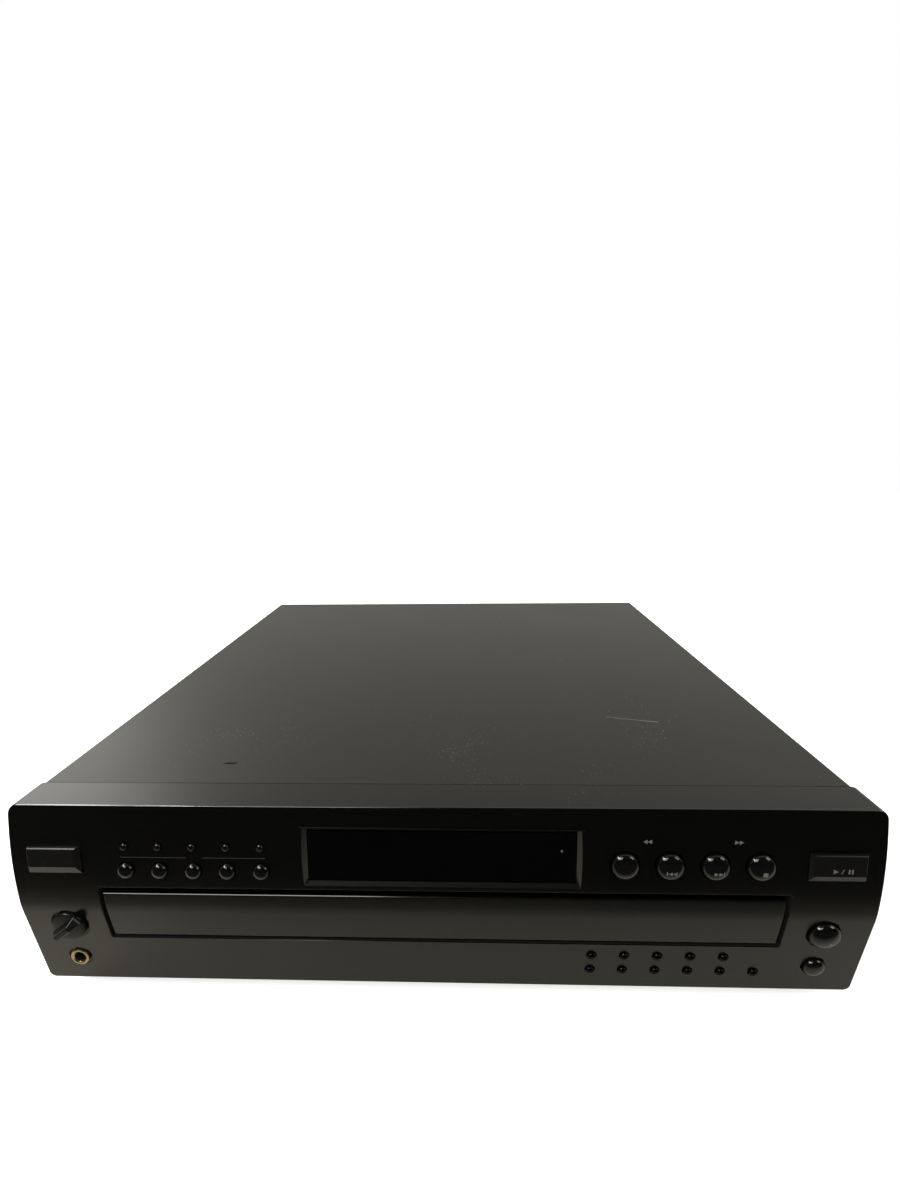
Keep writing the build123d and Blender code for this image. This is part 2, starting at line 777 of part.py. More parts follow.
# ---------------------------------------------------------------- line sockets and cord bushing
with BuildPart() as line_out_jacks:
    with BuildSketch(back_plane(socket_x, rear_y + socket_step, socket_z)):
        Rectangle(socket_block_width, socket_block_height)
    extrude(amount=-socket_block_depth)
    for side in sides:
        shell = back_plane(socket_x + side * socket_pitch / 2, rear_y + socket_step, socket_z)
        with BuildSketch(shell):
            Circle(socket_radius)
        extrude(amount=socket_reach - socket_step)
        with BuildSketch(shell.offset(socket_reach - socket_step)):
            Circle(socket_bore)
        extrude(amount=-socket_reach, mode=Mode.SUBTRACT)
export(line_out_jacks.part, "line_out_jacks")

with BuildPart() as cord_bushing:
    bushing = back_plane(bushing_x - cover_half, rear_y, bushing_z)
    with BuildSketch(bushing):
        Circle(bushing_radius + bushing_rim)
    extrude(amount=bushing_rim)
    with BuildSketch(bushing):
        Circle(bushing_radius)
    extrude(amount=-bushing_depth)
    with BuildSketch(bushing.offset(bushing_rim)):
        Circle(bushing_radius - bushing_wall)
    extrude(amount=-2 * bushing_depth, mode=Mode.SUBTRACT)
export(cord_bushing.part, "cord_bushing")

# ---------------------------------------------------------------- drawer: door and tray
door_half = opening_width / 2 - door_side_gap
with BuildPart() as tray_door:
    extrude(panel_profile(door_y), amount=door_half, both=True)
    with BuildSketch(Plane.XZ.offset(-door_y)):
        with Locations((0, (door_bottom + door_top) / 2)):
            Rectangle(2 * door_half, door_top - door_bottom)
    extrude(amount=2 * door_depth, mode=Mode.INTERSECT)
    chamfer(edges().filter_by(Axis.X).group_by(Axis.Z)[-1].sort_by(Axis.Y)[0], length=door_bevel)
    chamfer(edges().filter_by(Axis.X).group_by(Axis.Z)[0].sort_by(Axis.Y)[0], length=door_bevel)
    with BuildSketch(Plane.XZ.offset(-door_y)):
        with Locations((0, (door_bottom + door_top) / 2)):
            with GridLocations(door_half / 2, 0, 4, 1):
                Rectangle(door_half / 2 - door_wall, door_top - door_bottom - 2 * door_wall)
    extrude(amount=door_depth - door_wall - 1.5, mode=Mode.SUBTRACT)
export(tray_door.part, "tray_door")

tray_middle_y = (door_y + tray_back_y) / 2
gear_pitch_radius = gear_module * table_teeth / 2
pinion_pitch_radius = gear_module * pinion_teeth / 2
centre_distance = gear_pitch_radius + pinion_pitch_radius
pinion_y = carousel_y + sqrt(centre_distance**2 - pinion_side**2)
rack_pitch = pi * drive_module
rack_teeth = int(drawer_travel / rack_pitch) + 6
with BuildPart() as tray:
    with BuildSketch(Plane.XY.offset(tray_bottom)):
        with Locations((0, tray_middle_y)):
            RectangleRounded(2 * tray_half, tray_length, tray_corner)
    extrude(amount=carousel_top - tray_bottom)
    with BuildSketch(Plane.XY.offset(tray_top_of_floor)):
        with Locations((0, carousel_y)):
            Circle(well_radius)
    extrude(amount=carousel_top, mode=Mode.SUBTRACT)
    # the corners are hollow from below
    with BuildSketch(Plane.XY.offset(tray_bottom)):
        with Locations((0, tray_middle_y)):
            Rectangle(2 * (tray_half - tray_wall), tray_length - 2 * tray_wall)
        with Locations((0, carousel_y)):
            Circle(well_radius + tray_wall, mode=Mode.SUBTRACT)
    extrude(amount=carousel_top - tray_bottom - tray_floor, mode=Mode.SUBTRACT)
    # open at the back, so that the drawer slides clear of a raised pickup
    with BuildSketch(Plane.XY.offset(tray_bottom)):
        with Locations((0, carousel_y + notch_front)):
            Rectangle(2 * notch_half_width, tray_length, align=(Align.CENTER, Align.MIN))
    extrude(amount=carousel_top, mode=Mode.SUBTRACT)
    # runners along both sides
    with BuildSketch(Plane.XY.offset(tray_bottom)):
        tongue_length = tray_length - tongue_front - tongue_back
        with Locations((0, tray_middle_y + (tongue_front - tongue_back) / 2)):
            Rectangle(2 * (tray_half + tongue_reach), tongue_length)
            Rectangle(2 * (tray_half - tray_wall / 2), tongue_length, mode=Mode.SUBTRACT)
    extrude(amount=tongue_height)
    # the post that the carousel turns on
    with BuildSketch(Plane.XY.offset(tray_bottom)):
        with Locations((0, carousel_y)):
            Circle(spindle_radius)
    extrude(amount=carousel_top - tray_bottom)
    with BuildSketch(Plane.XY.offset(tray_bottom)):
        with Locations((pinion_side, pinion_y)):
            Circle(motor_boss)
    extrude(amount=tray_floor, mode=Mode.SUBTRACT)
    # pads that the carousel's rim rides over
    with BuildSketch(Plane.XY.offset(tray_top_of_floor)):
        with Locations((0, carousel_y)):
            with PolarLocations(carousel_radius - pad_size, 4, start_angle=45):
                Rectangle(pad_size, pad_size)
    extrude(amount=carousel_bottom - tray_top_of_floor - fit_gap)
    # the rack, its teeth towards the drive gear
    with BuildSketch(Plane.XY.offset(rack_bottom)):
        with BuildLine():
            half_tooth = (rack_pitch / 2 - backlash) / 2
            slope = tan(radians(pressure_angle))
            tip_x = tip_height * drive_module
            root_x = -root_depth * drive_module
            flanks = []
            for tooth in range(rack_teeth):
                middle = drive_y + (tooth - 2) * rack_pitch
                for x, way in ((root_x, -1), (tip_x, -1), (tip_x, 1), (root_x, 1)):
                    flanks.append((rack_x + x, middle + way * (half_tooth - x * slope)))
            rack_back = rack_x - rack_width
            Polyline((rack_back, flanks[0][1]), *flanks, (rack_back, flanks[-1][1]), close=True)
        make_face()
    extrude(amount=rack_drop + tray_floor / 2)
export(tray.part, "tray")

# ---------------------------------------------------------------- carousel
with BuildPart() as carousel:
    with BuildSketch(Plane.XY.offset(carousel_bottom)):
        with Locations((0, carousel_y)):
            Circle(carousel_radius)
    extrude(amount=carousel_top - carousel_bottom)
    with BuildSketch(Plane.XY.offset(disc_z)):
        with Locations((0, carousel_y)):
            with PolarLocations(pocket_centre_radius, disc_count, start_angle=90):
                Circle(pocket_radius)
    extrude(amount=pocket_depth, mode=Mode.SUBTRACT)
    # a slot from each pocket's middle out through the rim
    with BuildSketch(Plane.XY.offset(carousel_bottom)):
        with Locations((0, carousel_y)):
            with PolarLocations(pocket_centre_radius, disc_count, start_angle=90):
                Circle(slot_half_width)
                Rectangle(pocket_centre_radius, 2 * slot_half_width, align=(Align.MIN, Align.CENTER))
    extrude(amount=carousel_top - carousel_bottom, mode=Mode.SUBTRACT)
    ring_plane = Plane(origin=(0, carousel_y, gear_z))
    ring_gear = gear_outline(ring_plane, table_teeth, gear_module, steps=2)
    extrude(ring_gear, amount=carousel_bottom - gear_z)
    with BuildSketch(Plane.XY.offset(gear_z)):
        with Locations((0, carousel_y)):
            Circle(gear_pitch_radius - ring_wall)
            Circle(spindle_radius + hub_wall, mode=Mode.SUBTRACT)
    extrude(amount=carousel_bottom - gear_z, mode=Mode.SUBTRACT)
    with BuildSketch(Plane.XY.offset(gear_z)):
        with Locations((0, carousel_y)):
            Circle(spindle_radius + bore_gap)
    extrude(amount=carousel_top, mode=Mode.SUBTRACT)
export(carousel.part, "carousel")

with BuildPart() as carousel_cap:
    with BuildSketch(Plane.XY.offset(carousel_top + fit_gap)):
        with Locations((0, carousel_y)):
            Circle(cap_radius)
    extrude(amount=cap_height, taper=20)
    with BuildSketch(Plane.XY.offset(carousel_top)):
        with Locations((0, carousel_y)):
            Circle(spindle_radius - fit_gap)
    extrude(amount=fit_gap)
export(carousel_cap.part, "carousel_cap")

# the pinion turns half a tooth out of step with the ring where they meet
mesh_angle = degrees(asin((pinion_y - carousel_y) / centre_distance))
ring_phase = mesh_angle * table_teeth / 360 % 1
pinion_turn = mesh_angle + 180 + (0.5 + ring_phase) * 360 / pinion_teeth
with BuildPart() as turntable_pinion:
    pinion_plane = Plane(origin=(pinion_side, pinion_y, gear_z))
    extrude(gear_outline(pinion_plane, pinion_teeth, gear_module, pinion_turn), amount=gear_face)
    with BuildSketch(Plane.XY.offset(gear_z)):
        with Locations((pinion_side, pinion_y)):
            Circle(motor_shaft + bore_gap)
    extrude(amount=gear_face, mode=Mode.SUBTRACT)
export(turntable_pinion.part, "turntable_pinion")

with BuildPart() as turntable_motor:
    with BuildSketch(Plane.XY.offset(tray_bottom)):
        with Locations((pinion_side, pinion_y)):
            Circle(motor_radius)
    extrude(amount=-motor_length)
    with BuildSketch(Plane.XY.offset(tray_bottom)):
        with Locations((pinion_side, pinion_y)):
            Circle(motor_shaft)
    extrude(amount=gear_z + gear_face - tray_bottom)
export(turntable_motor.part, "turntable_motor")

# ---------------------------------------------------------------- loader frame
rail_front_y = crest_y + rail_front
rail_back_y = rear_front_y - rail_back
rail_length = rail_back_y - rail_front_y
rail_middle_y = (rail_front_y + rail_back_y) / 2
groove_x = tray_half + tongue_reach + run_gap
ledge_low = tray_bottom - run_gap
ledge_high = tray_bottom + tongue_height + run_gap
ear_inner = traverse_half_width + run_gap
rail_outer = groove_x + rail_room + rail_wall
rail_span = 2 * (rail_outer - rail_wall / 2)  # between the middles of the outer walls
with BuildPart() as loader_frame:
    for side in sides:
        with BuildSketch(Plane.XZ.offset(-rail_front_y)):
            with BuildLine():
                Polyline(
                    (side * rail_outer, floor_z),
                    (side * rail_outer, ledge_high + rail_ledge),
                    (side * rail_inner, ledge_high + rail_ledge),
                    (side * rail_inner, ledge_high),
                    (side * groove_x, ledge_high),
                    (side * groove_x, ledge_low),
                    (side * rail_inner, ledge_low),
                    (side * rail_inner, ledge_low - rail_ledge),
                    (side * (rail_outer - rail_wall), ledge_low - rail_ledge),
                    (side * (rail_outer - rail_wall), floor_z),
                    close=True,
                )
            make_face()
        extrude(amount=-rail_length)
    # a post on each side carries the clamper's bridge
    with BuildSketch(Plane.XY.offset(ledge_high + rail_ledge)):
        with Locations(*[(side * (rail_inner + rail_outer) / 2, play_y) for side in sides]):
            Rectangle(rail_outer - rail_inner, bridge_post)
    extrude(amount=bridge_z - ledge_high - rail_ledge)
    # a shelf across the front for the drive, a bar across the back for the pivots
    with BuildSketch(Plane.XY.offset(shelf_z)):
        with Locations((0, drive_y)):
            Rectangle(rail_span, shelf_length)
        with Locations((loading_motor_x, drive_y)):
            Circle(drive_post, mode=Mode.SUBTRACT)
    extrude(amount=shelf_sheet)
    with BuildSketch(Plane.XY.offset(floor_z)):
        with Locations((0, rail_back_y)):
            Rectangle(rail_span, back_bar, align=(Align.CENTER, Align.MAX))
    extrude(amount=back_bar_height)
    for side in sides:
        with BuildSketch(Plane.YZ.offset(side * (ear_inner + ear_wall / 2))):
            with Locations((rail_back_y, floor_z)):
                ear_height = pivot_z + ear_length / 2 - floor_z
                Rectangle(ear_length, ear_height, align=(Align.MAX, Align.MIN))
        extrude(amount=ear_wall / 2, both=True)
    with BuildSketch(Plane.YZ):
        with Locations((pivot_y, pivot_z)):
            Circle(pin_radius + bore_gap)
    extrude(amount=ear_inner + 2 * ear_wall, both=True, mode=Mode.SUBTRACT)
    # the post that the drive gear turns on
    with BuildSketch(Plane.XY.offset(shelf_z)):
        with Locations((drive_x, drive_y)):
            Circle(drive_post)
    extrude(amount=drive_top - shelf_z)
export(loader_frame.part, "loader_frame")

# ---------------------------------------------------------------- drawer drive
shelf_top = shelf_z + shelf_sheet
pulley_z = shelf_top + pulley_lift
with BuildPart() as drive_gear:
    gear_plane = Plane(origin=(drive_x, drive_y, rack_bottom))
    half_tooth_turn = 180 / drive_teeth
    extrude(
        gear_outline(gear_plane, drive_teeth, drive_module, 180 + half_tooth_turn),
        amount=drive_top - rack_bottom,
    )
    with BuildSketch(Plane.XY.offset(pulley_z)):
        with Locations((drive_x, drive_y)):
            Circle(pulley_radius)
    extrude(amount=pulley_face)
    with BuildSketch(Plane.XY.offset(shelf_top + fit_gap)):
        with Locations((drive_x, drive_y)):
            Circle(2 * drive_post)
    extrude(amount=rack_bottom - shelf_top - fit_gap)
    with BuildSketch(Plane.XY.offset(shelf_z)):
        with Locations((drive_x, drive_y)):
            Circle(drive_post + bore_gap)
    extrude(amount=tray_bottom, mode=Mode.SUBTRACT)
export(drive_gear.part, "drive_gear")

with BuildPart() as loading_motor:
    with BuildSketch(Plane.XY.offset(shelf_z)):
        with Locations((loading_motor_x, drive_y)):
            Circle(motor_radius)
    extrude(amount=-motor_length)
    with BuildSketch(Plane.XY.offset(shelf_z)):
        with Locations((loading_motor_x, drive_y)):
            Circle(motor_shaft)
    extrude(amount=pulley_z - shelf_z)
    with BuildSketch(Plane.XY.offset(pulley_z)):
        with Locations((loading_motor_x, drive_y)):
            Circle(motor_pulley)
    extrude(amount=pulley_face)
export(loading_motor.part, "loading_motor")


def belt_loop(extra):
    """The line of the belt round both pulleys, this far outside them."""
    with BuildSketch(Plane.XY.offset(pulley_z + (pulley_face - belt_width) / 2)) as loop:
        with Locations((drive_x, drive_y)):
            Circle(pulley_radius + extra)
        with Locations((loading_motor_x, drive_y)):
            Circle(motor_pulley + extra)
        make_hull()
    return loop.sketch


with BuildPart() as drive_belt:
    extrude(belt_loop(bore_gap + belt_thick), amount=belt_width)
    extrude(belt_loop(bore_gap), amount=belt_width, mode=Mode.SUBTRACT)
export(drive_belt.part, "drive_belt")

# ---------------------------------------------------------------- clamper over the play position
with BuildPart() as clamper_bridge:
    with BuildSketch(Plane.XY.offset(bridge_z)):
        with Locations((0, play_y)):
            Rectangle(2 * rail_outer, bridge_length)
            Circle(clamper_radius + clamper_play, mode=Mode.SUBTRACT)
    extrude(amount=bridge_sheet)
    for side in sides:
        with BuildSketch(Plane.XY.offset(bridge_z)):
            with Locations((0, play_y + side * (bridge_length - bridge_sheet) / 2)):
                Rectangle(2 * rail_inner, bridge_sheet)
        extrude(amount=bridge_edge)
export(clamper_bridge.part, "clamper_bridge")

clamper_z = played_z + disc_thickness + clamper_gap
flange_z = bridge_z + bridge_sheet + fit_gap
with BuildPart() as clamper:
    with BuildSketch(Plane.XY.offset(clamper_z)):
        with Locations((0, play_y)):
            Circle(clamper_radius)
    extrude(amount=flange_z - clamper_z)
    with BuildSketch(Plane.XY.offset(flange_z)):
        with Locations((0, play_y)):
            Circle(clamper_flange)
    extrude(amount=clamper_flange_height)
    with BuildSketch(Plane.XY.offset(clamper_z)):
        with Locations((0, play_y)):
            Circle(cone_radius + clamper_play)
    extrude(amount=cone_height + clamper_play, mode=Mode.SUBTRACT)
export(clamper.part, "clamper")

# ---------------------------------------------------------------- pickup unit, lowered
half_side = traverse_side / 2
plate_low = half_side - plate_sheet
disc_w = played_z - pivot_z  # a played disc's underside over the pivot, with the unit raised
frame_front = -arm - traverse_front
rod_front = lens_start - arm - sled_length / 2 - rod_block
with BuildPart() as traverse_frame:
    with BuildSketch(unit_plane.offset(-half_side)):
        with Locations((0, (frame_front + traverse_back) / 2)):
            Rectangle(2 * traverse_half_width, traverse_back - frame_front)
    extrude(amount=traverse_side)
    with BuildSketch(unit_plane.offset(-half_side)):
        with Locations((0, (frame_front + traverse_wall - 2 * traverse_wall) / 2)):
            inner_length = -2 * traverse_wall - (frame_front + traverse_wall)
            Rectangle(2 * (traverse_half_width - traverse_wall), inner_length)
    extrude(amount=traverse_side - plate_sheet, mode=Mode.SUBTRACT)
    # the spindle motor under the plate, its shaft through it
    with BuildSketch(unit_plane.offset(plate_low)):
        with Locations((0, -arm)):
            Circle(motor_radius)
    extrude(amount=-motor_length)
    with BuildSketch(unit_plane.offset(plate_low)):
        with Locations((0, -arm)):
            Circle(motor_shaft)
    extrude(amount=disc_w - plate_low)
    # a block that holds the front end of the rod, and the ledge that guides the sled's other side
    with BuildSketch(unit_plane.offset(-half_side)):
        with Locations((-rod_side, rod_front)):
            Rectangle(4 * rod_radius, rod_block)
    extrude(amount=traverse_side - plate_sheet / 2)
    with BuildSketch(unit_plane.offset(ledge_w - ledge_sheet)):
        with Locations((traverse_half_width - traverse_wall, 0)):
            Rectangle(ledge_width, -traverse_wall - frame_front, align=(Align.MAX, Align.MAX))
    extrude(amount=ledge_sheet)
    # the way for the lens
    lens_way = lens_travel + 2 * lens_radius + 4
    with BuildSketch(unit_plane.offset(-half_side)):
        with Locations((0, lens_start + lens_travel / 2 - arm)):
            SlotOverall(lens_way, 2 * lens_radius + 4, rotation=90)
    extrude(amount=2 * traverse_side, mode=Mode.SUBTRACT)
    with BuildSketch(Plane.YZ):
        with Locations((pivot_y, pivot_z)):
            Circle(pin_radius)
    extrude(amount=traverse_half_width + pin_reach, both=True)
    rod_plane = Plane(
        origin=unit_plane.from_local_coords((0, rod_front - rod_block, rod_w)),
        x_dir=(1, 0, 0),
        z_dir=unit_plane.y_dir,
    )
    rod_length = -traverse_wall - (rod_front - rod_block / 2)
    with BuildSketch(rod_plane):
        with Locations((-rod_side, 0)):
            Circle(rod_radius + bore_gap)
    extrude(amount=rod_length + rod_block / 2, mode=Mode.SUBTRACT)
export(traverse_frame.part, "traverse_frame")

with BuildPart() as guide_rod:
    with BuildSketch(rod_plane.offset(rod_block / 2)):
        with Locations((-rod_side, 0)):
            Circle(rod_radius)
    extrude(amount=rod_length)
export(guide_rod.part, "guide_rod")

with BuildPart() as disc_table:
    with BuildSketch(unit_plane.offset(half_side + fit_gap)):
        with Locations((0, -arm)):
            Circle(table_hub)
    extrude(amount=disc_w - half_side - fit_gap - table_sheet)
    with BuildSketch(unit_plane.offset(disc_w - table_sheet)):
        with Locations((0, -arm)):
            Circle(table_radius)
    extrude(amount=table_sheet)
    with BuildSketch(unit_plane.offset(disc_w)):
        with Locations((0, -arm)):
            Circle(cone_radius)
    extrude(amount=cone_height, taper=30)
    with BuildSketch(unit_plane.offset(half_side)):
        with Locations((0, -arm)):
            Circle(motor_shaft + bore_gap)
    extrude(amount=disc_w - half_side + bore_gap, mode=Mode.SUBTRACT)
export(disc_table.part, "disc_table")

with BuildPart() as pickup_sled:
    with BuildSketch(unit_plane.offset(-sled_drop)):
        with Locations((0, lens_start - arm)):
            Rectangle(sled_width, sled_length)
    extrude(amount=sled_drop + plate_low - run_gap)
    # the arm that rests on the frame's ledge
    with BuildSketch(unit_plane.offset(ledge_w + bore_gap)):
        with Locations((sled_width / 2, lens_start - arm)):
            arm_reach = traverse_half_width - traverse_wall - run_gap - sled_width / 2
            Rectangle(arm_reach, sled_length, align=(Align.MIN, Align.CENTER))
    extrude(amount=plate_low - run_gap - ledge_w - bore_gap)
    with BuildSketch(unit_plane.offset(plate_low - run_gap)):
        with Locations((0, lens_start - arm)):
            Circle(lens_radius)
    extrude(amount=disc_w - focus_gap - plate_low + run_gap)
    with BuildSketch(rod_plane):
        with Locations((-rod_side, 0)):
            Circle(rod_radius + bore_gap)
    extrude(amount=rod_length + rod_block, mode=Mode.SUBTRACT)
export(pickup_sled.part, "pickup_sled")

# ---------------------------------------------------------------- boards and transformer
back_bar_y = rail_back_y - back_bar
transformer_x = transformer_gap + core_length / 2 + tab_reach - rail_inside
transformer_y = back_bar_y - transformer_ahead
with BuildPart() as transformer:
    with BuildSketch(Plane.XY.offset(floor_z)):
        with Locations((transformer_x, transformer_y)):
            Rectangle(core_length + 2 * tab_reach, core_width)
    extrude(amount=base_sheet)
    with BuildSketch(Plane.XY.offset(floor_z)):
        with Locations((transformer_x, transformer_y)):
            Rectangle(core_length, core_width)
    extrude(amount=core_height)
    with BuildSketch(Plane.XY.offset(floor_z + coil_inset)):
        with Locations((transformer_x, transformer_y)):
            RectangleRounded(coil_length, coil_width, coil_inset)
    extrude(amount=core_height - 2 * coil_inset)
export(transformer.part, "transformer")

main_board_y = back_bar_y - main_board_back - main_board_length / 2
component_z = floor_z + standoff + board_sheet
with BuildPart() as main_board:
    with BuildSketch(Plane.XY.offset(floor_z + standoff)):
        with Locations((socket_x, main_board_y)):
            Rectangle(board_width, main_board_length)
    extrude(amount=board_sheet)
    with BuildSketch(Plane.XY.offset(floor_z)):
        with Locations((socket_x, main_board_y)):
            spread = (board_width - 2 * standoff_size, main_board_length - 2 * standoff_size)
            with GridLocations(*spread, 2, 2):
                Rectangle(standoff_size, standoff_size)
    extrude(amount=standoff)
    with BuildSketch(Plane.XY.offset(component_z)):
        with Locations((socket_x, main_board_y - main_board_length / 6)):
            Rectangle(chip_size, chip_size)
        with Locations((socket_x, main_board_y + main_board_length / 5)):
            with GridLocations(board_width / 2, 0, 2, 1):
                Rectangle(*strip_size)
    extrude(amount=chip_height)
    with BuildSketch(Plane.XY.offset(component_z)):
        with Locations((socket_x, main_board_y)):
            with GridLocations(board_width / 3, main_board_length - 8 * cap_can_radius, 1, 2):
                Circle(cap_can_radius)
    extrude(amount=cap_can_height)
export(main_board.part, "main_board")
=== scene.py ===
# %% [markdown]
# # A front-loading disc changer
# The real thing is a black hi-fi component: a moulded front panel, a painted steel cover
# and a drawer that holds a carousel of discs. The measured solids come in first as a fixed
# frame, and each visible piece is then remade finer in the same place, in metres.

# %% Load the frame
import json
import math

import bmesh
import bpy
from mathutils import Matrix, Vector


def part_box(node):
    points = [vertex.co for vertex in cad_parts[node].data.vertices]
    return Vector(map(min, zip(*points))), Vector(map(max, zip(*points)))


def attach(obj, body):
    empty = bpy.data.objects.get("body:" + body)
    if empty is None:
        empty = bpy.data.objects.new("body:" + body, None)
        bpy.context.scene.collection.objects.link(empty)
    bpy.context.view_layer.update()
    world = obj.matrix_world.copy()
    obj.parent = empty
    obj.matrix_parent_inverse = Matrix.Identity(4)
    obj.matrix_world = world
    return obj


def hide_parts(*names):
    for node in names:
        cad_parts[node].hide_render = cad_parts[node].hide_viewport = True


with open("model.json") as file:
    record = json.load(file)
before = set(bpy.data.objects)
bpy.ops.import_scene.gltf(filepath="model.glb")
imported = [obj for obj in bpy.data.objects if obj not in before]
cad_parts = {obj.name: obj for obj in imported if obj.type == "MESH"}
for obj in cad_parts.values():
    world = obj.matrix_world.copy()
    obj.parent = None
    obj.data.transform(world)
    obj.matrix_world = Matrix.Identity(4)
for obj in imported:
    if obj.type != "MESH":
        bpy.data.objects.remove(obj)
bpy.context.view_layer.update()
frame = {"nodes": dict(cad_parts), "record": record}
MM = 0.001


def corners_of(node):
    """The lowest and the highest corner of a solid, in millimetres."""
    return [Vector(corner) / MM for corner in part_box(node)]


# %% [markdown]
# The front panel's section is a shallow arc, the brow, over a crest, with a flat chin under
# it. It could be a curve that is swept along the width. Two short functions are used
# instead, because the door, the keys and the marks need the face's place and tilt too.

# %% The front panel's section
panel_low, panel_high = corners_of("front_panel")
crest_y, seam_y = panel_low.y, panel_high.y
panel_bottom, panel_top = panel_low.z, panel_high.z
half_width = panel_high.x
crest_z = panel_bottom + 53.5
brow_setback, chin_setback = 7.0, 5.7  # how far the top and the bottom lie behind the crest
brow_height = panel_top - crest_z
brow_radius = (brow_height**2 + brow_setback**2) / (2 * brow_setback)
lean = math.atan(chin_setback / (crest_z - panel_bottom))
crest_soft = 3.0  # how far the crest's rounding reaches up and down


def face_y(z):
    """Where the face lies at a height."""
    rise = z - crest_z
    near = max(0.0, crest_soft - abs(rise))
    softened = math.tan(lean) * near**2 / (4 * crest_soft)
    if rise > 0:
        return crest_y + brow_radius - math.sqrt(brow_radius**2 - rise**2) + softened
    return crest_y - rise * math.tan(lean) + softened


def face_tilt(z):
    """How far the face leans at a height, in radians."""
    step = 0.01
    return math.atan2(face_y(z + step) - face_y(z - step), 2 * step)


print("brow radius", round(brow_radius, 1), "chin leans", round(math.degrees(lean), 1), "degrees")

# %% [markdown]
# A photograph this close to a wide object needs a short lens. The camera could be placed by
# eye. Its place and its three turns were worked out from the box's corners at its real
# width instead, so that every corner falls where the photograph has it.

# %% Camera
right_of_middle, ahead_of_crest, above_crest = 14.99, 207.78, 218.9
turn_side, turn_down, turn_roll = 0.032, 0.258, -0.014  # radians
focal_pixels, frame_height, sensor = 506.66, 1200, 36.0
camera_place = Vector((right_of_middle, crest_y - ahead_of_crest, crest_z + above_crest)) * MM
level = Matrix.Rotation(-turn_side, 3, "Z")
pitch = Matrix.Rotation(turn_down, 3, "X")
roll = Matrix.Rotation(turn_roll, 3, "Y")
to_view = (roll @ pitch @ level).transposed()
view_axes = [to_view @ Vector(axis) for axis in ((1, 0, 0), (0, 0, 1), (0, -1, 0))]
camera_data = bpy.data.cameras.new("camera")
camera_data.sensor_fit = "AUTO"
camera_data.sensor_width = sensor
camera_data.lens = focal_pixels * sensor / frame_height
camera_data.clip_start = 0.01
camera = bpy.data.objects.new("camera", camera_data)
camera_turn = Matrix(view_axes).transposed().to_4x4()
camera.matrix_world = Matrix.Translation(camera_place) @ camera_turn
bpy.context.scene.collection.objects.link(camera)
bpy.context.scene.camera = camera
print("lens", round(camera_data.lens, 2))

# %% [markdown]
# Photographs of such things are taken on a pale sweep of paper, so the floor is a large
# matt sheet. Stronger lamps could burn it out to white, but they would bleach the cabinet
# too. So its material adds white only for what the camera sees, and the shadow under the
# cabinet stays. A gloss surface sees the pale floor only close to the object, because black
# plastic looks black when it has little that is pale to mirror.

# %% Floor
MIX_A, MIX_B, MIX_OUT = 6, 7, 2  # a Mix node's sockets when it mixes colours


def node_tree(owner):
    """The node tree of a material or a world, emptied."""
    owner.use_nodes = True
    owner.node_tree.nodes.clear()
    return owner.node_tree


def add(tree, kind, inputs=None, **settings):
    """A new node. Each input gets a value, or a link if it is given another node's output."""
    node = tree.nodes.new("ShaderNode" + kind)
    for setting, value in settings.items():
        setattr(node, setting, value)
    for socket, value in (inputs or {}).items():
        if isinstance(value, bpy.types.NodeSocket):
            tree.links.new(value, node.inputs[socket])
        else:
            node.inputs[socket].default_value = value
    return node


def maths(tree, way, *values):
    return add(tree, "Math", dict(enumerate(values)), operation=way).outputs[0]


def mix_colours(tree, share, first, second):
    inputs = {"Factor": share, MIX_A: first, MIX_B: second}
    return add(tree, "Mix", inputs, data_type="RGBA").outputs[MIX_OUT]


paper_white = (0.86, 0.86, 0.86, 1)
added_white = 0.67
mirrored_near, mirrored_far = (0.52, 0.50, 0.42, 1), (0.03, 0.03, 0.027, 1)
near_ends, far_starts = -0.222, -0.285  # metres from the middle, towards the camera
paper = bpy.data.materials.new("paper")
tree = node_tree(paper)
rays = add(tree, "LightPath").outputs
floor_axes = add(tree, "SeparateXYZ", {0: add(tree, "TexCoord").outputs["Object"]})
nearness = add(tree, "MapRange", {"Value": floor_axes.outputs["Y"], "From Min": far_starts,
                                  "From Max": near_ends})
mirrored = mix_colours(tree, nearness.outputs["Result"], mirrored_far, mirrored_near)
paper_tone = mix_colours(tree, rays["Is Glossy Ray"], paper_white, mirrored)
seen = maths(tree, "MULTIPLY", rays["Is Camera Ray"], added_white)
paper_sheet = add(tree, "BsdfDiffuse", {"Color": paper_tone})
paper_glow = add(tree, "Emission", {"Strength": seen})
both = add(tree, "AddShader", {0: paper_sheet.outputs[0], 1: paper_glow.outputs[0]})
add(tree, "OutputMaterial", {"Surface": both.outputs[0]})

floor_half = 6  # metres
floor_bm = bmesh.new()
bmesh.ops.create_grid(floor_bm, x_segments=1, y_segments=1, size=floor_half)
floor_mesh = bpy.data.meshes.new("paper_floor")
floor_bm.to_mesh(floor_mesh)
floor_bm.free()
floor_mesh.materials.append(paper)
floor = bpy.data.objects.new("paper_floor", floor_mesh)
bpy.context.scene.collection.objects.link(floor)
print("paper", len(tree.nodes), "nodes")

# %% [markdown]
# The room is white for the camera, gives a weak even light, and shows gloss surfaces a dim
# wall behind the camera and a bright one behind the object. One plain colour would be
# simpler, but then the front would mirror white and look grey.

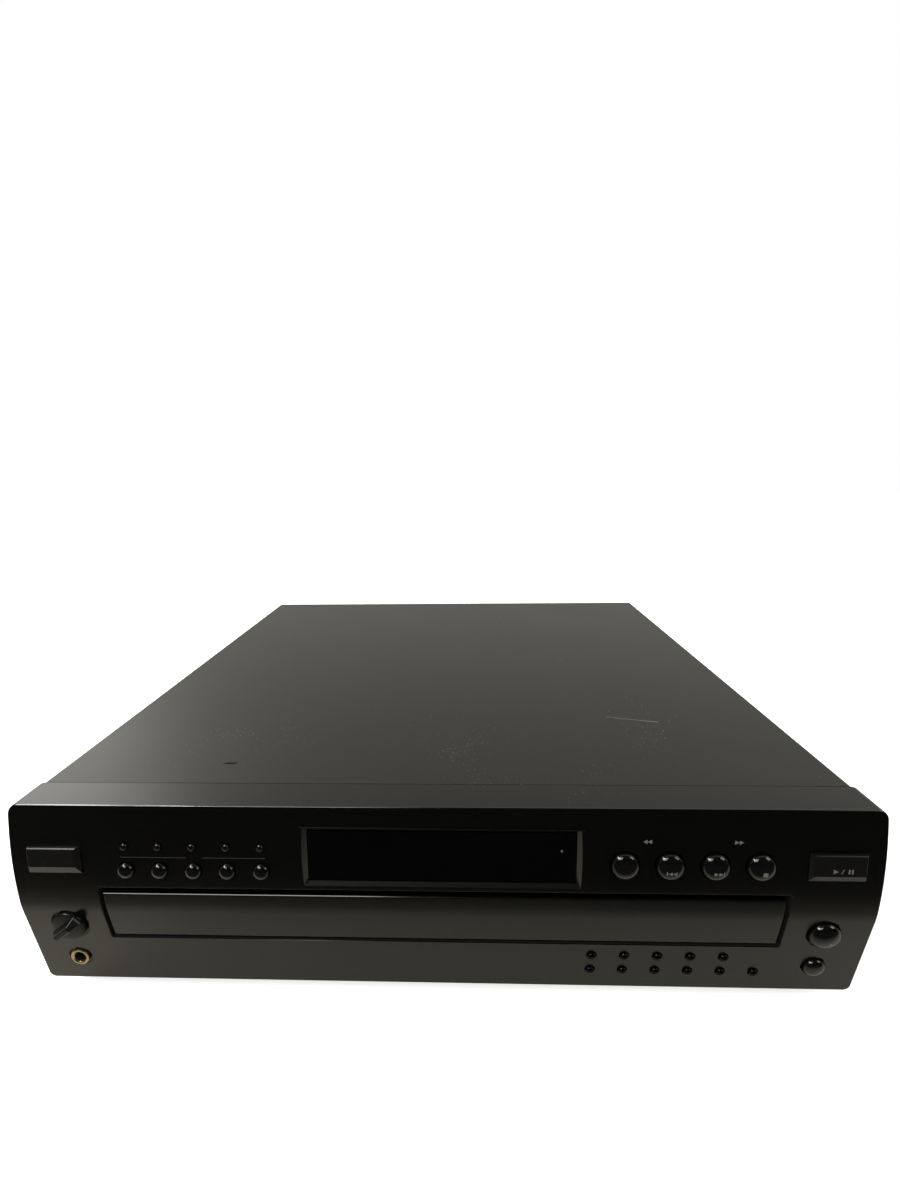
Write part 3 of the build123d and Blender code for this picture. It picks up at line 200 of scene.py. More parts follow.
# %% Room
white, warm_white = (1, 1, 1, 1), (1, 0.975, 0.89, 1)
even_light = 0.38
dim_wall, bright_wall = 0.015, 0.86
world = bpy.data.worlds.new("studio")
bpy.context.scene.world = world
tree = node_tree(world)
rays = add(tree, "LightPath").outputs
room_axes = add(tree, "SeparateXYZ", {0: add(tree, "TexCoord").outputs["Generated"]})
wall_light = add(tree, "MapRange", {"Value": room_axes.outputs["Y"], "From Min": -0.25,
                                    "From Max": 0.25, "To Min": dim_wall, "To Max": bright_wall})
for_camera = rays["Is Camera Ray"]
for_gloss = maths(tree, "MAXIMUM", rays["Is Glossy Ray"], rays["Is Transmission Ray"])
shown_room = add(tree, "Background", {
    "Color": mix_colours(tree, for_camera, warm_white, white),
    "Strength": maths(tree, "MAXIMUM", wall_light.outputs["Result"], for_camera)})
lit_room = add(tree, "Background", {"Color": white, "Strength": even_light})
choose = add(tree, "MixShader", {0: maths(tree, "MAXIMUM", for_camera, for_gloss),
                                 1: lit_room.outputs[0], 2: shown_room.outputs[0]})
add(tree, "OutputWorld", {"Surface": choose.outputs[0]})
bpy.context.scene.view_settings.view_transform = "Standard"
print("room", len(tree.nodes), "nodes")

# %% [markdown]
# Five lamps light it: a broad one over the camera's left shoulder for the front, a weak one
# from the right, one like a window far behind on the left, which the left side of the cover
# mirrors, a small bright one that sparkles on the keys, and a strip overhead that draws thin
# bright lines along the rounded edges. Area lamps are used, as their shapes show in gloss.

# %% Lamps
LAMPS = {  # place, target, size and watts
    "front_lamp": ((-1.1, -1.6, 2.0), (0, 0, 0.05), (1.6, 1.2), 27),
    "side_lamp": ((1.9, -0.8, 1.4), (0, 0, 0.05), (1.0, 1.0), 10),
    "window_lamp": ((-1.95, 1.35, 1.35), (-0.1, 0, 0.1), (1.1, 1.1), 18),
    "ceiling_lamp": ((-1.5, -1.3, 2.3), (0, -0.2, 0.1), (0.22, 0.22), 14),
    "overhead_strip": ((-1.35, -0.15, 1.6), (-0.6, -0.15, 0), (1.7, 0.25), 20),
}
lamp_tint = (1.0, 0.985, 0.93)
for name, (place, target, size, power) in LAMPS.items():
    lamp = bpy.data.lights.new(name, "AREA")
    lamp.shape = "RECTANGLE"
    lamp.size, lamp.size_y = size
    lamp.energy = power
    lamp.color = lamp_tint
    lamp_object = bpy.data.objects.new(name, lamp)
    aim = (Vector(target) - Vector(place)).to_track_quat("-Z", "Y")
    lamp_object.matrix_world = Matrix.Translation(place) @ aim.to_matrix().to_4x4()
    bpy.context.scene.collection.objects.link(lamp_object)
    print(name, power, "W")

# %% [markdown]
# Nothing here is one flat colour. Each finish could have its own noise, but one group that
# all of them share is easier to change: it varies the tone over the surface, makes a fine
# grain, gives the grain's height for a bump, and lays specks of dust on what looks up.

# %% The surface group
surface = bpy.data.node_groups.new("surface", "ShaderNodeTree")
for label, kind, value in (("Colour", "Color", (0.5, 0.5, 0.5, 1)), ("Tone", "Float", 0.1),
                           ("Roughness", "Float", 0.4), ("Spread", "Float", 0.05),
                           ("Grain", "Float", 1800.0), ("Dust", "Float", 0.0)):
    socket = surface.interface.new_socket(label, in_out="INPUT", socket_type="NodeSocket" + kind)
    socket.default_value = value
for label, kind in (("Colour", "Color"), ("Roughness", "Float"), ("Height", "Float")):
    surface.interface.new_socket(label, in_out="OUTPUT", socket_type="NodeSocket" + kind)
given = surface.nodes.new("NodeGroupInput").outputs
result = surface.nodes.new("NodeGroupOutput").inputs
coords = add(surface, "TexCoord").outputs["Object"]


def noise(scale, detail):
    inputs = {"Vector": coords, "Scale": scale, "Detail": detail}
    return add(surface, "TexNoise", inputs).outputs["Fac"]


patches = noise(14.0, 4.0)
patch_swing = maths(surface, "SUBTRACT", patches, 0.5)
fine = noise(given["Grain"], 2.0)
swing = maths(surface, "MULTIPLY", patch_swing, given["Tone"])
speckle = maths(surface, "MULTIPLY", maths(surface, "SUBTRACT", fine, 0.5), given["Tone"])
tone = maths(surface, "ADD", maths(surface, "ADD", swing, speckle), 1.0)
tinted = add(surface, "VectorMath", {0: given["Colour"], "Scale": tone}, operation="SCALE")
print("tone", len(surface.nodes), "nodes")

# %% [markdown]
# Dust lies in loose specks on what looks up. A fine noise picks the specks, the broad one
# gathers them, and the surface's normal keeps them off the sides.

# %% Dust and what the group gives
dust_colour = (0.35, 0.34, 0.31, 1)
specks = noise(900.0, 1.0)
normal = add(surface, "NewGeometry").outputs["Normal"]
upward = maths(surface, "MAXIMUM", add(surface, "SeparateXYZ", {0: normal}).outputs["Z"], 0.0)
gathered = maths(surface, "MULTIPLY", specks, maths(surface, "ADD", patches, 0.45))
fleck = maths(surface, "GREATER_THAN", gathered, 0.78)
dusty = maths(surface, "MULTIPLY", maths(surface, "MULTIPLY", fleck, upward), given["Dust"])
dusted = mix_colours(surface, dusty, tinted.outputs[0], dust_colour)

rough = maths(surface, "MULTIPLY", patch_swing, given["Spread"])
surface.links.new(dusted, result["Colour"])
surface.links.new(maths(surface, "ADD", rough, given["Roughness"]), result["Roughness"])
surface.links.new(fine, result["Height"])
print("surface", len(surface.nodes), "nodes")

# %% [markdown]
# Most of the object is black plastic or black paint, which differ only in their gloss and
# their grain. So a finish is one line: a colour, a roughness, and what it changes of the
# rest. The moulded panel is glossy, its top is satin, and its rims are polished.

# %% Finishes of the panel
def make_finish(name, colour, roughness, specular=0.3, metallic=0.0, grain=1800.0, relief=0.01,
                tone=0.12, spread=0.06, dust=0.0):
    """A material made from the group; relief is the grain's height in millimetres."""
    material = bpy.data.materials.new(name)
    tree = node_tree(material)
    made = tree.nodes.new("ShaderNodeGroup")
    made.node_tree = surface
    for label, value in (("Colour", (*colour, 1)), ("Tone", tone), ("Roughness", roughness),
                         ("Spread", spread), ("Grain", grain), ("Dust", dust)):
        made.inputs[label].default_value = value
    bump = add(tree, "Bump", {"Strength": 1.0, "Distance": relief * MM,
                              "Height": made.outputs["Height"]})
    shader = add(tree, "BsdfPrincipled", {
        "Base Color": made.outputs["Colour"], "Roughness": made.outputs["Roughness"],
        "Metallic": metallic, "Specular IOR Level": specular, "Normal": bump.outputs["Normal"]})
    add(tree, "OutputMaterial", {"Surface": shader.outputs[0]})
    return material


panel_black = make_finish("panel_black", (0.0008, 0.0008, 0.0006), 0.23, 0.5, relief=0.002,
                          spread=0.05)
panel_satin = make_finish("panel_satin", (0.0060, 0.0060, 0.0050), 0.35, 0.26, relief=0.008,
                          dust=0.2)
panel_inside = make_finish("panel_inside", (0.012, 0.012, 0.012), 0.55, 0.2)
rim_gloss = make_finish("rim_gloss", (0.002, 0.002, 0.0017), 0.14, 0.9, relief=0.0)
# A dull copy of the panel's black for the window funnel's upward faces: painted shade.
funnel_shade_black = make_finish("funnel_shade_black", (0.0022, 0.0022, 0.0019), 0.5, 0.1, relief=0.004)
print(len(bpy.data.materials), "materials")

# %% [markdown]
# The front panel is one moulding with a mouth for the drawer. Its corners and rims are
# rounded while it is still a flat slab, because there they are straight and easy to pick.
# Shapes are worked in millimetres, as bmeshes.

# %% The panel's slab
def block(low, high):
    bm = bmesh.new()
    bmesh.ops.create_cube(bm, size=1)
    low, high = Vector(low), Vector(high)
    bmesh.ops.scale(bm, vec=high - low, verts=bm.verts)
    bmesh.ops.translate(bm, vec=(low + high) / 2, verts=bm.verts)
    return bm


def round_edges(bm, test, radius, segments=3):
    """Rounds the edges that pass a test of their middle point and themselves."""
    edges = [e for e in bm.edges if test((e.verts[0].co + e.verts[1].co) / 2, e)]
    bmesh.ops.bevel(bm, geom=edges, offset=radius, offset_type="OFFSET", segments=segments,
                    profile=0.5, affect="EDGES", clamp_overlap=True, material=-1)
    return bm


def level_y(edge):
    return abs((edge.verts[0].co - edge.verts[1].co).normalized().y) > 0.99


top_corner, low_corner = 4.5, 3.5
slab = block((-half_width, crest_y, panel_bottom), (half_width, seam_y, panel_top))
round_edges(slab, lambda m, e: level_y(e) and m.z > crest_z, top_corner, 8)
round_edges(slab, lambda m, e: level_y(e) and m.z < crest_z, low_corner, 8)
print("slab", len(slab.faces), "faces")

# %% [markdown]
# The mouth is cut out with a boolean, which gives closed meshes. The cut's leftovers are
# dissolved, so that the rim's edges are whole again and can be rounded.

# %% The drawer's mouth
def carve(bm, cutter):
    """The shape less another closed shape."""
    pair = []
    for label, shape in (("carved", bm), ("cutter", cutter)):
        mesh = bpy.data.meshes.new(label)
        shape.to_mesh(mesh)
        shape.free()
        obj = bpy.data.objects.new(label, mesh)
        bpy.context.scene.collection.objects.link(obj)
        pair.append(obj)
    cut = pair[0].modifiers.new("cut", "BOOLEAN")
    cut.object, cut.operation, cut.solver = pair[1], "DIFFERENCE", "EXACT"
    graph = bpy.context.evaluated_depsgraph_get()
    cut_mesh = bpy.data.meshes.new_from_object(pair[0].evaluated_get(graph))
    made = bmesh.new()
    made.from_mesh(cut_mesh)
    bpy.data.meshes.remove(cut_mesh)
    for obj in pair:
        mesh = obj.data
        bpy.data.objects.remove(obj)
        bpy.data.meshes.remove(mesh)
    return made


def on_front_rim(middle, edge):
    return (middle.y < crest_y + 0.01 and all(abs(v.co.y - crest_y) < 0.01 for v in edge.verts)
            and len(edge.link_faces) == 2 and edge.calc_face_angle() > 0.5)


mouth_half = 174.5
mouth_low, mouth_high = panel_bottom + 32, panel_bottom + 66
mouth = block((-mouth_half, crest_y - 5, mouth_low), (mouth_half, seam_y + 5, mouth_high))
round_edges(mouth, lambda m, e: level_y(e), 1.2, 4)
slab = carve(slab, mouth)
bmesh.ops.dissolve_limit(slab, angle_limit=0.01, verts=slab.verts, edges=slab.edges)
round_edges(slab, on_front_rim, 0.55, 3)
print("slab with its mouth", len(slab.faces), "faces")

# %% [markdown]
# Now level cuts divide the slab into strips, and every point moves back by the section's
# depth at its height. A lattice could bend it too. Moving points keeps the curve exact, and
# the rims follow it. The same bend shapes the hollow that makes the panel a shell.

# %% Bending the slab to its section
strip = 1.9
wall = 3.0
collar_wall, collar_depth = 1.5, 12


def everything(bm):
    return bm.verts[:] + bm.edges[:] + bm.faces[:]


def bend_front(bm, rear):
    """Gives the section to every point of a slab that lies ahead of rear."""
    levels = [crest_soft * i / 3 for i in range(-3, 4)]
    levels += [crest_soft + strip * i for i in range(1, int(brow_height / strip) - 1)]
    for level_z in levels:
        bmesh.ops.bisect_plane(bm, geom=everything(bm), dist=0.0001,
                               plane_co=(0, 0, crest_z + level_z), plane_no=(0, 0, 1))
    for vert in bm.verts:
        if vert.co.y < rear:
            vert.co.y += face_y(vert.co.z) - crest_y


bend_front(slab, seam_y - 1)
hollow = block((wall - half_width, crest_y + wall, panel_bottom + wall),
               (half_width - wall, seam_y + 8, panel_top - wall))
bend_front(hollow, seam_y - 1)
collar = block((-mouth_half - collar_wall, crest_y - 4, mouth_low - collar_wall),
               (mouth_half + collar_wall, crest_y + collar_depth, mouth_high + collar_wall))
hollow = carve(hollow, collar)
shell = carve(slab, hollow)
print("shell", len(shell.faces), "faces")

# %% [markdown]
# There are 27 round keys and 2 wide ones. Their places and sizes come from the photograph.
# They are listed once, by name, so that the holes, the caps and the marks agree.

# %% Where the keys are
KEYS = {}  # place across the panel, height on it, and radius
left_column, left_pitch = -158, 17.35
for i in range(5):
    x = left_column + left_pitch * i
    KEYS[f"mode_button_{i + 1}"] = (x, 89.3, 1.8)
    KEYS[f"disc_button_{i + 1}"] = (x, 76.5, 4.1)
for i, name in enumerate(("disc_skip_button", "skip_back_button", "skip_forward_button",
                          "stop_button")):
    KEYS[name] = (92.4 + 21.9 * i, 81.7, 6.7)
for i in range(11):
    column, height = (i, 23.9) if i < 5 else (i - 5, 13.2)
    KEYS[f"number_key_{i + 1}"] = (79.7 + 17 * column, height, 2.4)
KEYS["open_close_button"] = (194.5, 41.6, 7.7)
KEYS["exchange_button"] = (194.5, 18.3, 5.4)
BARS = {  # place, height and how steep the lower bevel is
    "power_button": (-194.5, 82.0, 4.6),
    "play_button": (194.5, 82.0, 3.8),
}
bar_size = (27.4, 14.6)
large_from = 5  # a round key of a larger radius is a large one
print(len(KEYS), "round keys", len(BARS), "wide keys")

# %% [markdown]
# The keys' holes are square to the curved face, each with a flared rim that catches the
# light as a moulded edge does. Large keys sit in a wider dished ring. The cutters could be
# used one after the other, but gathered into one mesh they need only one boolean.

# %% Holes for the keys
def on_face(x, height):
    """A place on the face: local x to the right, y up the panel, z straight out of it."""
    z = panel_bottom + height
    tilt = face_tilt(z)
    out = Vector((0, -math.cos(tilt), math.sin(tilt)))
    right = Vector((1, 0, 0))
    up = out.cross(right)
    turn = Matrix((right, up, out)).transposed().to_4x4()
    return Matrix.Translation((x, face_y(z), z)) @ turn


def turned(section, steps=48):
    """A solid turned round local z from its half section of (radius, height) pairs."""
    bm = bmesh.new()
    points = [bm.verts.new((r, 0, h)) for r, h in section]
    line = [bm.edges.new(pair) for pair in zip(points, points[1:])]
    bmesh.ops.spin(bm, geom=points + line, axis=(0, 0, 1), cent=(0, 0, 0),
                   angle=2 * math.pi, steps=steps, use_merge=True)
    bmesh.ops.remove_doubles(bm, verts=bm.verts, dist=0.0001)
    bmesh.ops.recalc_face_normals(bm, faces=bm.faces)
    return bm


def place_at(bm, place):
    bmesh.ops.transform(bm, matrix=place, verts=bm.verts)
    return bm


def join(bm, other):
    """Adds another shape to a shape."""
    mesh = bpy.data.meshes.new("joined")
    other.to_mesh(mesh)
    other.free()
    bm.from_mesh(mesh)
    bpy.data.meshes.remove(mesh)


def upright(edge):
    return abs((edge.verts[0].co - edge.verts[1].co).normalized().z) > 0.99


key_gap = 0.25
hole_depth = 9.0
over = 0.5  # how far a cutter stands out of the face
flare_slope = 1.625
cutters = bmesh.new()
for x, height, radius in KEYS.values():
    dish = 0.95 if radius > large_from else 0.3
    hole = radius + key_gap
    shoulder, shoulder_depth = hole + 0.35 * dish, 0.4 * dish
    section = [(0, -hole_depth), (hole, -hole_depth), (hole, -dish), (shoulder, -shoulder_depth),
               (shoulder + flare_slope * (shoulder_depth + over), over), (0, over)]
    cutter = turned(section, 56 if radius > large_from else 40)
    join(cutters, place_at(cutter, on_face(x, height)))
for x, height, _ in BARS.values():
    half = Vector((bar_size[0] / 2 + key_gap, bar_size[1] / 2 + key_gap, 0))
    cutter = block(-half - Vector((0, 0, hole_depth)), half + Vector((0, 0, 2)))
    round_edges(cutter, lambda m, e: upright(e), 0.8, 4)
    join(cutters, place_at(cutter, on_face(x, height)))
print("cutters", len(cutters.faces), "faces")

# %% [markdown]
# The window lies at the bottom of a funnel with four bevelled sides. Its cutter is a block
# whose top face is drawn out and spread, which keeps the four mitred corners exact.

# %% The window's recess
window_x, window_height = 1.95, 83.9
window_size = Vector((135.0, 27.2))
window_rim = 2.2
funnel = window_rim + 1.2
recess = block((-window_size.x / 2, -window_size.y / 2, -hole_depth),
               (window_size.x / 2, window_size.y / 2, -window_rim))
top = max(recess.faces, key=lambda f: f.calc_center_median().z)
drawn = bmesh.ops.extrude_face_region(recess, geom=[top])
for vert in [g for g in drawn["geom"] if isinstance(g, bmesh.types.BMVert)]:
    vert.co += Vector((math.copysign(funnel, vert.co.x), math.copysign(funnel, vert.co.y),
                       funnel))
recess.faces.remove(top)
bmesh.ops.recalc_face_normals(recess, faces=recess.faces)
join(cutters, place_at(recess, on_face(window_x, window_height)))
print("window", tuple(window_size))

# %% [markdown]
# The level knob and the phones jack each sit in a round pocket. The pockets look straight
# ahead, not square to the leaning chin, because the knob's shaft and the jack are level.

# %% The knob's and the jack's pockets
def facing(x, y, z, way):
    """A place whose local z points along an axis of the frame, such as (0, -1, 0)."""
    out = Vector(way)
    up = Vector((0, 0, 1)) if abs(out.z) < 0.5 else Vector((0, 1, 0))
    right = up.cross(out)
    turn = Matrix((right, up, out)).transposed().to_4x4()
    return Matrix.Translation((x, y, z)) @ turn


knob_x, knob_height, knob_pocket, knob_hole = -194.5, 41.4, 10.0, 3.3
jack_x, jack_height, jack_pocket, jack_hole = -195.4, 17.5, 6.4, 4.96
knob_floor = face_y(panel_bottom + knob_height) + 1.0
jack_floor = face_y(panel_bottom + jack_height) + 1.0
for x, floor_y, height, pocket, hole in (
        (knob_x, knob_floor, knob_height, knob_pocket, knob_hole),
        (jack_x, jack_floor, jack_height, jack_pocket, jack_hole)):
    section = [(0, -8), (hole, -8), (hole, 0), (pocket - 0.4, 0), (pocket, 0.4), (pocket, 9),
               (0, 9)]
    cutter = turned(section, 64)
    join(cutters, place_at(cutter, facing(x, floor_y, panel_bottom + height, (0, -1, 0))))
print("knob's floor", round(knob_floor, 2), "jack's floor", round(jack_floor, 2))

# %% [markdown]
# A shape becomes a piece in metres at the end. Its edges stay sharp only past a stated
# angle, so that turned and bent faces look round, and its normals are weighted by the
# faces' areas, so that large faces stay flat next to small roundings. The panel's finishes
# are given out by where a face lies and which way it looks.

# %% The panel as a piece
def finish_piece(bm, name, body, nodes, materials, smooth=32):
    """The shape as a piece that rides on a body and stands for some of the solids."""
    bmesh.ops.dissolve_degenerate(bm, dist=0.002, edges=bm.edges)
    bmesh.ops.scale(bm, vec=(MM, MM, MM), verts=bm.verts)
    mesh = bpy.data.meshes.new(name)
    bm.to_mesh(mesh)
    bm.free()
    for material in materials:
        mesh.materials.append(material)
    mesh.shade_smooth()
    mesh.set_sharp_from_angle(angle=math.radians(smooth))
    piece = bpy.data.objects.new(name, mesh)
    bpy.context.scene.collection.objects.link(piece)
    even = piece.modifiers.new("even_shading", "WEIGHTED_NORMAL")
    even.keep_sharp = True
    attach(piece, body)
    if nodes:
        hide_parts(*nodes)
    print(name, len(mesh.polygons), "faces")
    return piece


OUTER, TOP, INNER, POLISHED, SHADED = range(5)
fascia = carve(shell, cutters)
bmesh.ops.remove_doubles(fascia, verts=fascia.verts, dist=0.0005)
for face in fascia.faces:
    middle, normal = face.calc_center_median(), face.normal
    face.material_index = INNER
    if middle.y < face_y(middle.z) + wall * 0.9 or abs(middle.x) > half_width - 0.3:
        face.material_index = OUTER
    if normal.z > 0.9 and middle.z > panel_top - 1:
        face.material_index = TOP
    reach = window_size / 2 + Vector((window_rim + 0.1, window_rim + 0.1))
    in_funnel = (abs(middle.x - window_x) < reach.x
                 and abs(middle.z - panel_bottom - window_height) < reach.y
                 and middle.y < face_y(middle.z) + window_rim + 0.2 and normal.y > -0.9)
    at_rim = middle.z > panel_top - 0.6 or abs(middle.z - mouth_low) < 0.7
    on_rounding = at_rim and 0.1 < normal.z < 0.98 and normal.y < -0.1
    if in_funnel or on_rounding:
        face.material_index = POLISHED
    # The funnel's upward faces get that dull, dark copy of the finish: painted shade, so that
    # they don't mirror the lamps.
    if in_funnel and normal.z > 0.3:
        face.material_index = SHADED
finish_piece(fascia, "fascia", "cabinet", ["front_panel"],
             [panel_black, panel_satin, panel_inside, rim_gloss, funnel_shade_black], 28)

# %% [markdown]
# The drawer's door repeats the panel's section, so that its upper band and its lower facet
# run on in line when it is shut. It is bent by the same function as the panel, and hollowed
# from behind into four pockets, as a moulding is, with ribs between them.

# %% Drawer door
door_low, door_high = corners_of("tray_door")
rib, skin, door_edge = 4, 4.5, 2.5
door = block((door_low.x, crest_y, door_low.z), (door_high.x, door_high.y, door_high.z))
round_edges(door, lambda m, e: m.y < crest_y + 0.1, 0.7, 3)
bend_front(door, door_high.y - 1)
pockets = bmesh.new()
bay = (door_high.x * 2) / 4
for i in range(4):
    middle = door_low.x + bay * (i + 0.5)
    pocket = block((middle - bay / 2 + rib / 2, crest_y + skin, door_low.z + door_edge),
                   (middle + bay / 2 - rib / 2, door_high.y + 1, door_high.z - door_edge))
    join(pockets, pocket)
door = carve(door, pockets)
for face in door.faces:
    from_crest = abs(face.calc_center_median().z - crest_z)
    if face.normal.y < -0.1 and 0.3 < abs(face.normal.z) < 0.98 and from_crest > 7:
        face.material_index = 1
finish_piece(door, "drawer_door", "drawer", ["tray_door"], [panel_black, rim_gloss], 28)

# %% [markdown]
# Behind the window's funnel lies a plate of smoked plastic with a lip that keeps it in. The
# display behind it is off, so the plate is close to black and glossy, and needs no
# transparency.

# %% Window
dark_glass = make_finish("dark_glass", (0.0006, 0.0006, 0.0008), 0.05, 0.25, relief=0.0,
                         tone=0.02)
lens_half = window_size / 2 - Vector((0.3, 0.3))
lip_half = lens_half + Vector((2.1, 2.1))
lens_back, lip_back = -3.85, -5.65
lens = block((-lens_half.x, -lens_half.y, lens_back), (lens_half.x, lens_half.y, -window_rim))
round_edges(lens, lambda m, e: m.z > -2.3, 0.3, 2)
join(lens, block((-lip_half.x, -lip_half.y, lip_back), (lip_half.x, lip_half.y, lens_back)))
place_at(lens, on_face(window_x, window_height))
finish_piece(lens, "window_plate", "cabinet", ["display_window"], [dark_glass])

# %% [markdown]
# A round key is a glossy bead: a straight skirt in its hole under a tall dome that mirrors
# the lamps as small sparkles. It is turned from its half section, as a lathe would make it.
# Behind the panel it has a square base that keeps it in and a post to its switch.

# %% Round keys
key_gloss = make_finish("key_gloss", (0.0024, 0.0024, 0.0021), 0.08, 0.6, relief=0.0,
                        spread=0.02)
key_dark = make_finish("key_dark", (0.0008, 0.0008, 0.0007), 0.12, 0.16, relief=0.0,
                       spread=0.02)
base_top = -wall - 0.25
base_thick, base_margin = 1.2, 1
skirt_stand = 0.5


def key_back(bm, x, height, half, post, node):
    """Adds the key's base, and its post as deep as the solid's."""
    z = panel_bottom + height
    reach = (corners_of(node)[1].y - face_y(z)) / math.cos(face_tilt(z))
    wide, tall = half[0] + base_margin, half[1] + base_margin
    base_back = base_top - base_thick
    join(bm, block((-wide, -tall, base_back), (wide, tall, base_top)))
    join(bm, block((-post[0] / 2, -post[1] / 2, -reach + 0.2),
                   (post[0] / 2, post[1] / 2, base_back)))


def crown_height(radius, rho):
    """How far a key's dome stands out of the face at a distance from its middle."""
    crown = (0.5 if radius > large_from else 0.6) * radius
    return skirt_stand + crown * max(0.0, 1 - (rho / radius) ** 2) ** 0.5


for name, (x, height, radius) in KEYS.items():
    section = [(0, base_top), (radius, base_top), (radius, 0.3)]
    count = 12 if radius > large_from else 8
    for i in range(count + 1):
        rho = radius * math.cos(math.pi / 2 * i / count)
        section.append((rho, crown_height(radius, rho)))
    key = turned(section, 56 if radius > large_from else 32)
    key_back(key, x, height, (radius, radius), (2.4, 2.4), name)
    place_at(key, on_face(x, height))
    finish = key_dark if "number" in name else key_gloss
    finish_piece(key, name + "_cap", name, [name], [finish], 40)

# %% [markdown]
# The two wide keys are blocks with a long bevel along the lower edge, a short one along the
# top and one at each end. Each bevel has its own slope, so they are cut by planes, which an
# even bevel of the edges couldn't give.

# %% Wide keys
key_satin = make_finish("key_satin", (0.0045, 0.0044, 0.004), 0.25, 0.30, relief=0.002)
bar_stand, top_bevel, end_bevel, lower_bevel = 2.4, 0.6, 1.8, 2.1


def shave(bm, place, outward):
    """Cuts off what lies past a plane and closes the cut."""
    cut = bmesh.ops.bisect_plane(bm, geom=everything(bm), dist=0.0001, plane_co=place,
                                 plane_no=outward, clear_outer=True)
    rim = [e for e in cut["geom_cut"] if isinstance(e, bmesh.types.BMEdge)]
    bmesh.ops.contextual_create(bm, geom=rim)


for name, (x, height, steepness) in BARS.items():
    w, h = bar_size[0] / 2, bar_size[1] / 2
    bar = block((-w, -h, base_top), (w, h, bar_stand))
    shave(bar, (0, -h, bar_stand - lower_bevel), (0, -lower_bevel, steepness))
    shave(bar, (0, h, bar_stand - top_bevel), (0, 1, 1))
    for side in (-1, 1):
        shave(bar, (side * w, 0, bar_stand - end_bevel), (side * end_bevel, 0, 1.6))
    round_edges(bar, lambda m, e: m.z > 0.25 and e.calc_face_angle(0) > 0.3, 0.22, 2)
    key_back(bar, x, height, (w, h), (4.8, 2.4), name)
    place_at(bar, on_face(x, height))
    finish_piece(bar, name + "_cap", name, [name], [key_satin], 24)

# %% [markdown]
# The level knob is a low disc with a grip across it, on a shaft that runs into its control.
# The disc and the shaft are turned. The grip is a block whose ends and sides are cut to
# taper and then rounded, and it is turned to where the photograph shows it.

# %% Level knob
knob_low, knob_high = corners_of("phones_knob")
knob_back = knob_floor - 0.3
shaft_back = knob_high.y - knob_back
grip_high = min(knob_back - knob_low.y, 7.5)
grip_long, grip_wide = 8.4, 3.1  # halves
grip_turn = math.radians(38)
knob = turned([(0, -shaft_back), (3.0, -shaft_back), (3.0, 0), (8.3, 0), (8.6, 0.4),
               (8.6, 2.0), (8.2, 2.6), (7.0, 2.9), (0, 2.9)], 64)
grip = block((-grip_long, -grip_wide, 0), (grip_long, grip_wide, grip_high))
for side in (-1, 1):
    shave(grip, (side * grip_long, 0, 3.4), (side * 0.7, 0, 0.5))
    shave(grip, (0, side * grip_wide, 2.4), (0, side * 0.95, 0.3))
round_edges(grip, lambda m, e: m.z > 1.5 and e.calc_face_angle(0) > 0.3, 1.0, 4)
bmesh.ops.rotate(grip, matrix=Matrix.Rotation(grip_turn, 3, "Z"), cent=(0, 0, 0),
                 verts=grip.verts)
join(knob, grip)
place_at(knob, facing(knob_x, knob_back, panel_bottom + knob_height, (0, -1, 0)))
finish_piece(knob, "level_knob_grip", "level_knob", ["phones_knob"], [key_satin], 35)

# %% [markdown]
# The phones jack shows a gold-plated ring round a dark bore. One turned section makes both
# the ring and the black body behind it, and the faces near the front get the plating.

# %% Phones jack
gold_plate = make_finish("gold_plate", (0.55, 0.43, 0.23), 0.28, 0.5, metallic=1.0,
                         relief=0.002)
jack_body = make_finish("jack_body", (0.012, 0.012, 0.012), 0.5, 0.2)
jack_low, jack_high = corners_of("phones_jack")
jack_front, jack_deep = jack_low.y, jack_high.y - jack_low.y
jack_z = panel_bottom + jack_height
ring_deep, bore, sleeve, body_radius = 5.5, 3.25, 4.9, 6.0
ring = turned([(bore, -jack_deep), (bore, -0.5), (3.6, -0.12), (3.9, 0), (4.5, 0),
               (4.8, -0.15), (sleeve, -0.5), (sleeve, -ring_deep), (body_radius, -ring_deep),
               (body_radius, -jack_deep), (bore, -jack_deep)], 64)
place_at(ring, facing(jack_x, jack_front, jack_z, (0, -1, 0)))
for face in ring.faces:
    middle = face.calc_center_median()
    radial = (Vector((middle.x, middle.z)) - Vector((jack_x, jack_z))).length
    plated = middle.y < jack_front + 0.6 and radial > bore + 0.05
    face.material_index = 0 if plated else 1
finish_piece(ring, "jack_ring", "cabinet", ["phones_jack"], [gold_plate, jack_body], 30)

# %% [markdown]
# The cover is one sheet bent over the cabinet: two long bends, a lip at the back that the
# rear panel's screws go through, and a satin paint that shows its handling. A block's open
# shell is given the sheet's thickness, as it keeps the wall even round the bends.

# %% Cover
cover_paint = make_finish("cover_paint", (0.0105, 0.0105, 0.0080), 0.42, 0.26, relief=0.012,
                          dust=0.35)
cover_low, cover_high = corners_of("top_cover")
sheet, bend_radius = 0.8, 2.5
lip_inset, lip_deep = 8.5, 12.2
cover = block(cover_low, cover_high)
round_edges(cover, lambda m, e: level_y(e) and m.z > 100, bend_radius, 8)
ends = [f for f in cover.faces if abs(f.normal.y) > 0.9 or f.normal.z < -0.9]
bmesh.ops.delete(cover, geom=ends, context="FACES")
bmesh.ops.recalc_face_normals(cover, faces=cover.faces)
top_face = max(cover.faces, key=lambda f: f.calc_area())
if top_face.normal.z < 0:
    bmesh.ops.reverse_faces(cover, faces=cover.faces)
bmesh.ops.solidify(cover, geom=cover.faces[:], thickness=sheet)
join(cover, block((cover_low.x + lip_inset, cover_high.y - sheet, cover_high.z - lip_deep),
                  (cover_high.x - lip_inset, cover_high.y, cover_high.z - 0.4)))
finish_piece(cover, "cover_sheet", "cabinet", ["top_cover"], [cover_paint], 25)

